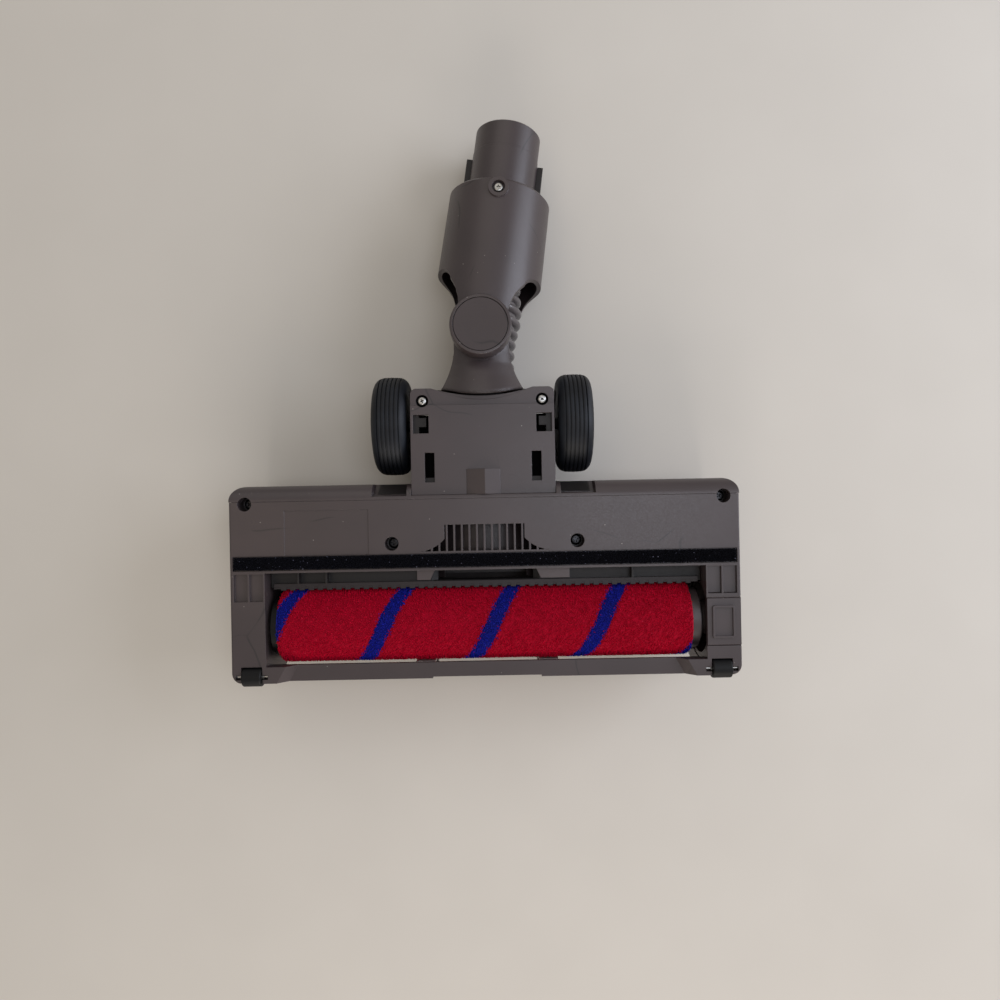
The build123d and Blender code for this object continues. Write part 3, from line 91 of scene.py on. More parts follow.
def linear(code: str) -> tuple[float, float, float, float]:
    """Turns an sRGB hex colour into linear RGBA.

    Args:
        code: The colour as "#rrggbb".

    Returns:
        The colour that a shader socket takes.
    """
    parts = [int(code[start : start + 2], 16) / 255 for start in (1, 3, 5)]
    curved = [p / 12.92 if p <= 0.04045 else ((p + 0.055) / 1.055) ** 2.4 for p in parts]
    return (curved[0], curved[1], curved[2], 1.0)


def per_metre(size_mm: float) -> float:
    """Scale of a pattern on Object coordinates whose features are size_mm across."""
    return 1.0 / (size_mm * MM)


def add_object(name: str, data: bpy.types.ID) -> bpy.types.Object:
    """Puts a new object into the scene.

    Args:
        name: The object's name.
        data: Its mesh, lamp or camera.

    Returns:
        The object.
    """
    made = bpy.data.objects.new(name, data)
    bpy.context.scene.collection.objects.link(made)
    return made


class Paint:
    """A material in the making: a Principled shader and the patterns that feed it."""

    def __init__(self, name: str) -> None:
        """Starts a material with its shader and its Object coordinates.

        Args:
            name: The material's name.
        """
        self.material = bpy.data.materials.new(name)
        self.material.use_nodes = True
        self.tree = self.material.node_tree
        self.tree.nodes.clear()
        self.shader = self.add("ShaderNodeBsdfPrincipled")
        self.add("ShaderNodeOutputMaterial", {"Surface": self.shader.outputs["BSDF"]})
        self.place = self.add("ShaderNodeTexCoord").outputs["Object"]

    def add(self, kind: str, links: dict | None = None, **settings: object) -> Node:
        """Adds a node with its settings and what feeds it.

        Args:
            kind: The node's type name.
            links: What feeds its inputs, as in feed.
            **settings: The node's own properties.

        Returns:
            The new node.
        """
        made = self.tree.nodes.new(kind)
        for key, value in settings.items():
            setattr(made, key, value)
        self.feed(made, links or {})
        return made

    def feed(self, node: Node, links: dict) -> None:
        """Feeds a node's inputs.

        Args:
            node: The node.
            links: Input name or number to an output socket or a plain value.
        """
        for key, value in links.items():
            if isinstance(value, NodeSocket):
                self.tree.links.new(value, node.inputs[key])
            else:
                node.inputs[key].default_value = value

    def finish(self, links: dict) -> Material:
        """Feeds the shader's own inputs and hands the material over."""
        self.feed(self.shader, links)
        return self.material

    def noise(self, size_mm: float, detail: float, output: str = "Fac") -> NodeSocket:
        """Clouds whose features are size_mm across."""
        links = {"Vector": self.place, "Scale": per_metre(size_mm), "Detail": detail}
        return self.add("ShaderNodeTexNoise", links).outputs[output]

    def mix(self, share: NodeSocket, ground: NodeSocket | str, top: str) -> NodeSocket:
        """Lays a colour over a ground by a share, where plain colours are sRGB hex codes."""
        links = {0: share, 6: linear(ground) if isinstance(ground, str) else ground, 7: linear(top)}
        return self.add("ShaderNodeMix", links, data_type="RGBA").outputs[2]

    def product(self, first: NodeSocket, second: NodeSocket | float) -> NodeSocket:
        """Multiplies two numbers."""
        return self.add("ShaderNodeMath", {0: first, 1: second}, operation="MULTIPLY").outputs[0]

    def ramp(
        self, value: NodeSocket, low: float, high: float, out_low: float = 0.0, out_high: float = 1.0
    ) -> NodeSocket:
        """Stretches a number from low..high to out_low..out_high, cut off at both ends."""
        links = {"Value": value, "From Min": low, "From Max": high, "To Min": out_low, "To Max": out_high}
        return self.add("ShaderNodeMapRange", links, clamp=True).outputs["Result"]

    def specks(self, cell_mm: float, share: float, strength: float, grain_mm: float = 0.24) -> NodeSocket:
        """Scatters grains of dust or lint, one in some of the cells.

        Args:
            cell_mm: How far apart the cells lie.
            share: How many of the cells hold a grain.
            strength: How strongly a grain covers the ground.
            grain_mm: How far a grain reaches.

        Returns:
            How strongly each point is covered.
        """
        cells = self.add("ShaderNodeTexVoronoi", {"Vector": self.place, "Scale": per_metre(cell_mm)})
        size = grain_mm / cell_mm
        grain = self.ramp(cells.outputs["Distance"], 1.2 * size, 0.7 * size)
        chosen = self.ramp(cells.outputs["Color"], 1.0 - share, 1.02 - share)
        return self.product(self.product(grain, chosen), strength)


@dataclass(frozen=True)
class MouldedPlastic:
    """ABS or nylon from a spark-eroded mould: satin, faintly mottled, with hairline scuffs on its faces."""

    name: str
    colour: str
    mottle: str
    roughness: float
    scuffs: float = 0.0
    specks: float = 0.0
    grain_mm: float = 0.7
    edge_mm: float = 0.35
    ior: float = 1.53
    scuff_colour: str = "#2b2728"
    dust_colour: str = "#a9a39c"
    mottle_mm: float = 38.0
    dust_mm: float = 4.5
    scuff_cell_mm: float = 44.0
    scuff_patch_mm: float = 26.0
    scuff_bend_mm: float = 30.0

    def make(self) -> Material:
        """Builds the material with its grain, scuffs, dust specks and softened edges.

        Returns:
            The material.
        """
        paint = Paint(self.name)
        clouds = paint.ramp(paint.noise(self.mottle_mm, 3.0), 0.35, 0.65)
        mottled = paint.mix(clouds, self.colour, self.mottle)
        worn = paint.mix(self.scuff_mask(paint), mottled, self.scuff_colour)
        dusted = paint.mix(paint.specks(self.dust_mm, 0.35, self.specks), worn, self.dust_colour)
        # The real grain is about 0.1 mm; it is drawn coarser so that it shows at all.
        grain = paint.noise(self.grain_mm, 2.0)
        edge = paint.add("ShaderNodeBevel", {"Radius": self.edge_mm * MM}, samples=4).outputs["Normal"]
        relief = {"Height": grain, "Strength": 0.12, "Distance": 0.05 * MM, "Normal": edge}
        return paint.finish(
            {
                "Base Color": dusted,
                "Roughness": paint.ramp(grain, 0.3, 0.7, self.roughness - 0.05, self.roughness + 0.05),
                "Normal": paint.add("ShaderNodeBump", relief).outputs["Normal"],
                "IOR": self.ior,
            }
        )

    def scuff_mask(self, paint: Paint) -> NodeSocket:
        """Draws hairline scuffs as stretches of the borders between large warped cells.

        Args:
            paint: The material in the making.

        Returns:
            How strongly each point is scuffed.
        """
        reach = (self.scuff_bend_mm * MM,) * 3
        bent = paint.add(
            "ShaderNodeVectorMath",
            {0: paint.noise(self.scuff_bend_mm, 1.0, "Color"), 1: reach, 2: paint.place},
            operation="MULTIPLY_ADD",
        )
        cells = paint.add(
            "ShaderNodeTexVoronoi",
            {"Vector": bent.outputs["Vector"], "Scale": per_metre(self.scuff_cell_mm)},
            feature="DISTANCE_TO_EDGE",
        )
        line = paint.ramp(cells.outputs["Distance"], 0.014, 0.003)
        here = paint.ramp(paint.noise(self.scuff_patch_mm, 2.0), 0.53, 0.62)
        return paint.product(paint.product(line, here), self.scuffs)


@dataclass(frozen=True)
class Plush:
    """Dense cut nylon pile, its colour darkened from the tips down to the roots as painted shade within the pile,
    with a soft sheen at the edges.
    """

    name: str
    root: str
    tip: str
    glow: str
    sheen: float
    lint: float
    speckle_mm: float = 1.3
    lint_mm: float = 1.5

    def make(self) -> Material:
        """Builds the material from the piece's own nap attribute, 0 at a root and 1 at a tip; the darker roots are
        painted shade.

        Returns:
            The material.
        """
        paint = Paint(self.name)
        nap = paint.add("ShaderNodeAttribute", attribute_name="nap").outputs["Fac"]
        uneven = paint.ramp(paint.noise(self.speckle_mm, 2.0), 0.3, 0.7, 0.6, 1.0)
        # painted shade: the yarn darkens from tip to root as the pile shades its own depth
        yarn = paint.mix(paint.product(nap, uneven), self.root, self.tip)
        return paint.finish(
            {
                "Base Color": paint.mix(paint.specks(self.lint_mm, 0.3, self.lint), yarn, self.glow),
                "Roughness": 0.8,
                "Specular IOR Level": 0.08,
                "Sheen Weight": self.sheen,
                "Sheen Roughness": 0.45,
                "Sheen Tint": linear(self.glow),
            }
        )


@dataclass(frozen=True)
class Rubber:
    """Moulded rubber or soft vinyl: nearly black, matt, with a dusty bloom in patches."""

    name: str
    colour: str
    bloom: str
    roughness: float
    ior: float = 1.52
    bloom_mm: float = 9.0
    skin_mm: float = 0.8

    def make(self) -> Material:
        """Builds the material with its bloom and a fine skin.

        Returns:
            The material.
        """
        paint = Paint(self.name)
        patches = paint.ramp(paint.noise(self.bloom_mm, 4.0), 0.4, 0.75)
        relief = {"Height": paint.noise(self.skin_mm, 2.0), "Strength": 0.2, "Distance": 0.06 * MM}
        return paint.finish(
            {
                "Base Color": paint.mix(patches, self.colour, self.bloom),
                "Normal": paint.add("ShaderNodeBump", relief).outputs["Normal"],
                "Roughness": self.roughness,
                "IOR": self.ior,
            }
        )


@dataclass(frozen=True)
class Metal:
    """Plated or bright metal: turned, drawn or stamped, with a light brushing in its gloss."""

    name: str
    colour: str
    roughness: float
    brushing_mm: float = 1.1

    def make(self) -> Material:
        """Builds the material with its uneven gloss.

        Returns:
            The material.
        """
        paint = Paint(self.name)
        brushing = paint.noise(self.brushing_mm, 3.0)
        return paint.finish(
            {
                "Base Color": linear(self.colour),
                "Roughness": paint.ramp(brushing, 0.3, 0.7, self.roughness - 0.08, self.roughness + 0.08),
                "Metallic": 1.0,
            }
        )


FINISHES = {
    "grey_abs": MouldedPlastic("satin_grey_abs", "#413839", "#3c3435", 0.38, 0.9, 0.75),
    "dark_abs": MouldedPlastic("satin_dark_abs", "#211e1e", "#262323", 0.48, ior=1.4),
    "hub_nylon": MouldedPlastic("black_nylon", "#0e0e0f", "#131314", 0.5, ior=1.3),
    "black_felt": Plush("black_velvet", "#030305", "#101018", "#8a8aa0", 0.1, 1.0),
    "red_pile": Plush("red_nylon_plush", "#80021a", "#ec0638", "#ff4a6a", 0.35, 0.4),
    "blue_pile": Plush("blue_nylon_plush", "#08083a", "#2430d2", "#5a68ff", 0.4, 0.5),
    "tyre_rubber": Rubber("tyre_rubber", "#0a0d14", "#151a22", 0.55, ior=1.4),
    "hose_vinyl": Rubber("hose_vinyl", "#575253", "#605b5c", 0.2, ior=1.6),
    "pin_steel": Metal("zinc_plated_steel", "#b9b8b5", 0.34),
    "black_steel": Metal("black_oxide_steel", "#39393b", 0.32),
    "motor_can": Metal("plated_motor_can", "#a7a7a9", 0.35),
    "contact_brass": Metal("contact_brass", "#c9a256", 0.3),
    "board_laminate": MouldedPlastic("green_laminate", "#0f3b20", "#14472a", 0.4),
    # painted shade: a near-black matt sheet with little reflection, laid where the cover's openings and screw
    # seats fall into shade
    "painted_shade_black": MouldedPlastic("painted_shade_black_abs", "#060606", "#080808", 0.9, ior=1.12),
    # painted light: a lighter copy of the body's satin ABS, so that the flat stops read as lit slopes in the
    # mouth's shade
    "stop_painted_light_abs": MouldedPlastic("satin_stop_abs_painted_light", "#574c4c", "#514747", 0.4),
    # painted light: a pale ABS that makes the bridges' faces behind the front bar read lit, though they lie in
    # shade
    "painted_light_abs": MouldedPlastic("satin_abs_painted_light", "#d2c2be", "#cabab6", 0.4),
    # painted shade: a darker copy of the body's satin ABS for the comb and its web, which lie in the mouth's shade
    "painted_shade_abs": MouldedPlastic("satin_abs_painted_shade", "#2d2728", "#322c2d", 0.46, ior=1.4),
    "flared_abs": MouldedPlastic("satin_flared_abs", "#413839", "#3c3435", 0.38, 0.4, 0.6, edge_mm=2.5),
}


@cache
def material(finish: str) -> Material:
    """Makes the material of a finish, the first time that it is asked for by its key."""
    return FINISHES[finish].make()


class Workpiece:
    """A mesh under the hand: started as a primitive, shaped in edit mode, finished with modifiers."""

    def __init__(self, name: str) -> None:
        """Takes over the object that was just made.

        Args:
            name: The piece's name.
        """
        self.obj = bpy.context.object
        self.obj.name = name
        self.obj.data.name = name
        bpy.ops.object.transform_apply(location=True, rotation=True, scale=True)

    @classmethod
    def of_node(cls, name: str, node: str) -> "Workpiece":
        """Starts from a copy of one of the frame's solids, with its doubles merged.

        Args:
            name: The piece's name.
            node: The solid's name.

        Returns:
            The copy.
        """
        made = add_object(name, frame["nodes"][node].data.copy())
        cls.clear_bench()
        made.select_set(True)
        bpy.context.view_layer.objects.active = made
        piece = cls(name)
        bpy.ops.mesh.customdata_custom_splitnormals_clear()
        piece.outward()
        return piece

    @classmethod
    def block(cls, name: str, low_mm: Sequence[float], high_mm: Sequence[float]) -> "Workpiece":
        """Makes a box between two corners in millimetres.

        Args:
            name: The piece's name.
            low_mm: The corner with the smaller coordinates.
            high_mm: The corner with the larger ones.

        Returns:
            The box.
        """
        low = Vector(low_mm) * MM
        high = Vector(high_mm) * MM
        cls.clear_bench()
        bpy.ops.mesh.primitive_cube_add(size=1.0, location=(low + high) / 2, scale=high - low)
        return cls(name)

    @classmethod
    def cylinder(
        cls, name: str, sides: int, radius: float, depth: float, middle: Sequence[float], axis: str = "Z"
    ) -> "Workpiece":
        """Makes a cylinder along one of the axes, with its measures in metres.

        Args:
            name: The piece's name.
            sides: How many sides it has.
            radius: Its radius.
            depth: Its length.
            middle: Its middle.
            axis: X, Y or Z.

        Returns:
            The cylinder.
        """
        turn = {"X": (0, math.pi / 2, 0), "Y": (math.pi / 2, 0, 0), "Z": (0, 0, 0)}[axis]
        cls.clear_bench()
        bpy.ops.mesh.primitive_cylinder_add(
            vertices=sides, radius=radius, depth=depth, location=middle, rotation=turn
        )
        return cls(name)

    @staticmethod
    def joined(pieces: Sequence["Workpiece"]) -> "Workpiece":
        """Makes several pieces into one, the first of them."""
        return pieces[0].take_in(*(piece.obj for piece in pieces[1:]))

    def take_in(self, *others: bpy.types.Object) -> "Workpiece":
        """Makes other meshes part of this piece's own.

        Args:
            *others: The objects that hold them, if any.

        Returns:
            This piece.
        """
        self.hold()
        for other in others:
            other.select_set(True)
        if others:
            bpy.ops.object.join()
        return self

    def combine(self, tool: "Workpiece", operation: str) -> None:
        """Joins another piece to this one, by UNION, or cuts it out, by DIFFERENCE, and puts it away."""
        self.modify("BOOLEAN", object=tool.obj, operation=operation, solver="EXACT")
        bpy.data.objects.remove(tool.obj)

    @staticmethod
    def clear_bench() -> None:
        """Leaves nothing selected, so that operators touch only the next primitive."""
        bpy.ops.object.select_all(action="DESELECT")

    def hold(self) -> None:
        """Makes this piece the only one that operators act on."""
        self.clear_bench()
        self.obj.select_set(True)
        bpy.context.view_layer.objects.active = self.obj

    def edit(self, mode: str, action: str) -> None:
        """Enters edit mode.

        Args:
            mode: VERT, EDGE or FACE, what is picked there.
            action: SELECT or DESELECT, for everything or nothing.
        """
        self.hold()
        bpy.ops.object.mode_set(mode="EDIT")
        bpy.ops.mesh.select_mode(type=mode)
        bpy.ops.mesh.select_all(action=action)

    def pick(self, mode: str, test: Pick) -> None:
        """Enters edit mode with those faces or edges selected that pass a test.

        Args:
            mode: FACE or EDGE.
            test: Takes a face's middle and normal, or an edge's two ends.
        """
        self.edit(mode, "DESELECT")
        mesh = bmesh.from_edit_mesh(self.obj.data)
        if mode == "FACE":
            for face in mesh.faces:
                face.select_set(test(face.calc_center_median(), face.normal))
        else:
            for edge in mesh.edges:
                edge.select_set(test(edge.verts[0].co, edge.verts[1].co))
        bmesh.update_edit_mesh(self.obj.data)

    def round_edges(self, test: Pick, size_mm: float, segments: int) -> None:
        """Bevels the edges that pass a test.

        Args:
            test: Takes an edge's two ends.
            size_mm: The bevel's size.
            segments: How many faces it has across.
        """
        self.pick("EDGE", test)
        bpy.ops.mesh.bevel(offset=size_mm * MM, segments=segments)
        self.done()

    def bore(self, ends: Pick, wall: float) -> None:
        """Makes a cylinder into a tube.

        Args:
            ends: The test that the cylinder's two ends pass.
            wall: How thick the tube's wall is.
        """
        self.pick("FACE", ends)
        bpy.ops.mesh.inset(thickness=wall, use_individual=True)
        bpy.ops.mesh.bridge_edge_loops()
        self.done()

    def done(self) -> None:
        """Goes back to object mode."""
        bpy.ops.object.mode_set(mode="OBJECT")

    def cut(self, point: Vector, normal: Vector) -> None:
        """Slices the whole mesh with a plane.

        Args:
            point: A point of the plane.
            normal: The plane's normal.
        """
        self.edit("VERT", "SELECT")
        bpy.ops.mesh.bisect(plane_co=point, plane_no=normal, threshold=WELD)
        self.done()

    def modify(self, kind: str, **settings: object) -> None:
        """Adds a modifier and applies it.

        Args:
            kind: The modifier's type.
            **settings: Its properties.
        """
        self.hold()
        made = self.obj.modifiers.new(kind.lower(), kind)
        for key, value in settings.items():
            setattr(made, key, value)
        bpy.ops.object.modifier_apply(modifier=made.name)

    def move_points(self, rule: Callable[[Vector], Vector]) -> None:
        """Moves every point of the mesh by a rule.

        Args:
            rule: Takes a point and gives its new place.
        """
        for vertex in self.obj.data.vertices:
            vertex.co = rule(vertex.co.copy())
        self.obj.data.update()

    def outward(self) -> None:
        """Merges doubles and turns every face outwards."""
        self.edit("VERT", "SELECT")
        bpy.ops.mesh.remove_doubles(threshold=WELD)
        bpy.ops.mesh.normals_make_consistent(inside=False)
        self.done()

    def smooth(self, angle: float = 35.0) -> None:
        """Shades the piece smooth across edges below an angle in degrees."""
        self.hold()
        bpy.ops.object.shade_smooth_by_angle(angle=math.radians(angle))

    def dress(self, finish: str, body: str | None, nodes: Sequence[str] = ()) -> None:
        """Gives the piece its finish, its body and the nodes it stands for.

        Args:
            finish: The finish's key.
            body: The body it rides on, or None where it bends between two.
            nodes: The solids that it stands for.
        """
        self.obj.data.materials.clear()
        self.obj.data.materials.append(material(finish))
        if body:
            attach(self.obj, body)
        if nodes:
            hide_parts(*nodes)
        triangles = sum(len(p.vertices) - 2 for p in self.obj.data.polygons)
        LOG.info("%s: %d triangles", self.obj.name, triangles)


def joint(name: str) -> tuple[Vector, Vector]:
    """Looks up a point of a joint's axis and the axis's direction."""
    found = next(row for row in frame["joints"] if row["name"] == name)
    return Vector(found["pos_m"]), Vector(found["axis"]).normalized()


def solids(node: str, apart: float) -> Iterator[list[Vector]]:
    """Splits a node that holds several alike solids into the points of each.

    Args:
        node: The node's name.
        apart: How near points of one solid lie to its first point.

    Yields:
        The points of one solid.
    """
    left = [v.co.copy() for v in frame["nodes"][node].data.vertices]
    while left:
        first = left[0]
        yield [p for p in left if (p - first).length <= apart]
        left = [p for p in left if (p - first).length > apart]


@dataclass(frozen=True)
class Nap:
    """Short upright tufts that stand on a surface, a few triangles each."""

    tuft_mm: float
    sunk_mm: float
    width_mm: float
    lean: float
    per_mm2: float
    margin_mm: float
    ground_level: float
    reach_spread: Pair = (0.72, 1.0)
    width_spread: Pair = (0.7, 1.2)
    # painted shade in the pile: low nap levels darken the roots and the ground, high ones leave the tips bright
    root_nap: Pair = (0.15, 0.4)
    tip_nap: Pair = (0.55, 1.0)
    ground_spread: Pair = (0.6, 1.4)

    def stand(
        self, draw: random.Random, spots: Sequence[tuple[Vector, Vector]]
    ) -> tuple[list[Vector], list[tuple[int, int, int]], list[float]]:
        """Grows one three-sided tuft on each spot.

        Args:
            draw: The seeded source of its unevenness.
            spots: The foot and the upright direction of each tuft.

        Returns:
            The points, the faces and each point's place in the nap, 0 at a root and 1 at a tip.
        """
        points, faces, nap = [], [], []
        for foot, up in spots:
            across = up.orthogonal().normalized()
            beside = up.cross(across)
            turn = draw.uniform(0, math.tau)
            away = across * draw.gauss(0, self.lean) + beside * draw.gauss(0, self.lean)
            reach = self.tuft_mm * MM * draw.uniform(*self.reach_spread)
            wide = self.width_mm * MM * draw.uniform(*self.width_spread)
            start = len(points)
            for corner in range(3):
                angle = turn + corner * math.tau / 3
                points.append(foot + (across * math.cos(angle) + beside * math.sin(angle)) * wide)
                nap.append(draw.uniform(*self.root_nap))
            points.append(foot + (up + away).normalized() * reach)
            nap.append(draw.uniform(*self.tip_nap))
            for corner in range(3):
                faces.append((start + corner, start + (corner + 1) % 3, start + 3))
        return points, faces, nap

    def grow(
        self, piece: Workpiece, draw: random.Random, spots: Sequence[tuple[Vector, Vector]]
    ) -> None:
        """Joins the tufts to their ground and writes the nap attribute on both.

        Args:
            piece: The ground that the tufts stand on.
            draw: The seeded source of the tufts' unevenness.
            spots: The foot and the upright direction of each tuft.
        """
        points, faces, nap = self.stand(draw, spots)
        mesh = bpy.data.meshes.new("tufts")
        mesh.from_pydata(points, [], faces)
        mesh.attributes.new("nap", "FLOAT", "POINT").data.foreach_set("value", nap)
        ground = piece.obj.data
        # the ground under the tufts gets a low nap level, painted shade
        levels = [self.ground_level * draw.uniform(*self.ground_spread) for _ in ground.vertices]
        ground.attributes.new("nap", "FLOAT", "POINT").data.foreach_set("value", levels)
        piece.take_in(add_object("tufts", mesh))


@dataclass
class Roller:
    """The soft roller: two yarns wound side by side in one helix."""

    stripe_pitch_mm: float = 53.4
    stripe_width_mm: float = 7.9
    stripe_offset_mm: float = 3.0
    stripe_fray_mm: float = 0.8
    nap: Nap = Nap(1.1, 0.25, 0.33, 0.28, per_mm2=2.5, margin_mm=0.3, ground_level=0.2)
    end_round_mm: float = 3.0
    end_drop: float = 0.8
    bare_left_mm: float = 1.8
    bare_right_mm: float = 3.2
    drum_mm: float = 15.05
    drum_proud_mm: float = 0.05
    drum_round_mm: float = 0.8
    ground_mm: float = 1.6
    ground_cell_mm: float = 2.0
    ground_margin_mm: float = 0.2
    steps: int = 96
    seed: int = 5

    def __post_init__(self) -> None:
        """Reads the pile's place from the frame."""
        low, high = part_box("roller_pile_red")
        self.axis, _ = joint("roller_spin")
        self.start = low.x + self.bare_left_mm * MM
        self.end = high.x - self.bare_right_mm * MM
        self.radius = (high.z - low.z) / 2

    def ground_radius(self, x: float) -> float:
        """Works out the woven ground under the tufts, which is drawn in at the two ends.

        Args:
            x: Place along the axis.

        Returns:
            The ground's radius there.
        """
        inset = min(x - self.start, self.end - x)
        bend = self.end_round_mm * MM
        drop = 0.0
        if inset < bend:
            drop = bend - math.sqrt(max(bend * bend - (bend - max(inset, 0.0)) ** 2, 0.0))
        return self.radius - (self.nap.tuft_mm - self.nap.sunk_mm) * MM - drop * self.end_drop

    def yarn_at(self, x: float, angle: float) -> PileColour:
        """Which yarn stands at a place of the roller.

        Args:
            x: Place along the axis.
            angle: Turn about the axis, 0 at the crown and growing towards -Y.

        Returns:
            The yarn's colour.
        """
        pitch = self.stripe_pitch_mm * MM
        along = x - self.stripe_offset_mm * MM + pitch * angle / math.tau
        phase = (along / pitch + 0.5) % 1.0 - 0.5
        half = self.stripe_width_mm / self.stripe_pitch_mm / 2
        return PileColour.BLUE if abs(phase) <= half else PileColour.RED

    def ground(self, colour: PileColour) -> Workpiece:
        """Winds one yarn's ground strip: a short line screwed about the X axis.

        Args:
            colour: The yarn.

        Returns:
            The strip, longer than the roller at both ends.
        """
        pitch = self.stripe_pitch_mm * MM
        stripe = self.stripe_width_mm * MM
        width = stripe if colour is PileColour.BLUE else pitch - stripe
        middle = self.stripe_offset_mm * MM + (0 if colour is PileColour.BLUE else pitch / 2)
        turns = math.ceil((self.end - self.start) / pitch) + 2
        first = middle - pitch * math.ceil((middle - self.start) / pitch + 1)
        cells = max(4, round(width / (self.ground_cell_mm * MM)))
        Workpiece.clear_bench()
        bpy.ops.mesh.primitive_plane_add(size=1.0)
        piece = Workpiece(f"roller_plush_{colour.value}")
        piece.pick("EDGE", lambda a, b: a.y < 0 and b.y < 0)
        bpy.ops.mesh.select_all(action="INVERT")
        bpy.ops.mesh.delete(type="EDGE")
        bpy.ops.mesh.select_all(action="SELECT")
        bpy.ops.mesh.subdivide(number_cuts=cells - 1)
        piece.done()
        piece.move_points(lambda p: Vector((first + p.x * width, 0, self.radius)))
        piece.modify(
            "SCREW",
            axis="X",
            angle=-math.tau,
            screw_offset=pitch,
            iterations=turns,
            steps=self.steps,
            render_steps=self.steps,
            use_merge_vertices=True,
        )
        return piece

    def seat(self, point: Vector) -> Vector:
        """Brings a point of the strip, wound about the X axis, to its place on the roller."""
        around = Vector((0, point.y, point.z)).normalized()
        return Vector((point.x, self.axis.y, self.axis.z)) + around * self.ground_radius(point.x)

    def build(self) -> None:
        """Builds and dresses the two yarns and the bare end of the drum."""
        draw = random.Random(self.seed)
        area = math.tau * self.radius * (self.end - self.start) / (MM * MM)
        margin = self.nap.margin_mm * MM
        spots: dict[PileColour, list] = {colour: [] for colour in PileColour}
        for _ in range(round(area * self.nap.per_mm2)):
            x = draw.uniform(self.start + margin, self.end - margin)
            angle = draw.uniform(-math.pi, math.pi)
            frayed = x + draw.gauss(0, self.stripe_fray_mm) * MM
            up = Vector((0, -math.sin(angle), math.cos(angle)))
            foot = Vector((x, self.axis.y, self.axis.z)) + up * self.ground_radius(x)
            spots[self.yarn_at(frayed, angle)].append((foot, up))
        first = self.start + self.ground_margin_mm * MM
        last = self.end - self.ground_margin_mm * MM
        for colour in PileColour:
            piece = self.ground(colour)
            piece.cut(Vector((last, 0, 0)), Vector((1, 0, 0)))
            piece.cut(Vector((first, 0, 0)), Vector((-1, 0, 0)))
            piece.pick("FACE", lambda c, n: c.x > last or c.x < first)
            bpy.ops.mesh.delete(type="FACE")
            piece.done()
            piece.move_points(self.seat)
            piece.modify("SOLIDIFY", thickness=self.ground_mm * MM, offset=-1.0)
            piece.outward()
            self.nap.grow(piece, draw, spots[colour])
            piece.dress(f"{colour.value}_pile", "roller", [f"roller_pile_{colour.value}"])
        self.bare_drum()

    def bare_drum(self) -> None:
        """Turns the grey end of the drum that the pile leaves bare at the right."""
        core_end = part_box("roller_core")[1].x
        start = self.end - self.end_round_mm * MM
        stop = core_end + self.drum_proud_mm * MM
        middle = ((stop + start) / 2, self.axis.y, self.axis.z)
        piece = Workpiece.cylinder("drum_end", self.steps, self.drum_mm * MM, stop - start, middle, "X")
        piece.round_edges(lambda a, b: min(a.x, b.x) > core_end, self.drum_round_mm, 3)
        piece.smooth()
        piece.dress("grey_abs", "roller")


@dataclass
class FeltStrip:
    """The velvet strip that seals the mouth's rear edge."""

    nap: Nap = Nap(0.9, 0.15, 0.3, 0.25, per_mm2=7.0, margin_mm=0.4, ground_level=0.15)
    ground_margin_mm: float = 0.3
    ground_round_mm: float = 0.5
    splay: float = 0.55
    splay_width_mm: float = 0.9
    seed: int = 9

    def build(self) -> None:
        """Builds a backing with rounded long edges and grows the nap on it."""
        low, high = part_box("felt_strip")
        draw = random.Random(self.seed)
        size = high - low
        ground = high.z - (self.nap.tuft_mm - self.nap.sunk_mm) * MM
        inset = Vector((self.ground_margin_mm, self.ground_margin_mm, 0))
        top = Vector((high.x, high.y, ground))
        piece = Workpiece.block("felt_nap", low / MM + inset, top / MM - inset)
        piece.round_edges(lambda a, b: min(a.z, b.z) > low.z + NEAR, self.ground_round_mm, 3)
        margin = self.nap.margin_mm * MM
        spots = []
        for _ in range(round(size.x * size.y / (MM * MM) * self.nap.per_mm2)):
            x = draw.uniform(low.x + margin, high.x - margin)
            y = draw.uniform(low.y + margin, high.y - margin)
            from_edge = min(y - low.y, high.y - y, x - low.x, high.x - x)
            tip = self.splay * max(0.0, 1.0 - from_edge / (self.splay_width_mm * MM))
            outward = -1.0 if y - low.y < high.y - y else 1.0
            up = Vector((0, outward * tip, 1)).normalized()
            spots.append((Vector((x, y, ground - self.nap.sunk_mm * MM * tip)), up))
        self.nap.grow(piece, draw, spots)
        piece.dress("black_felt", "head", ["felt_strip"])


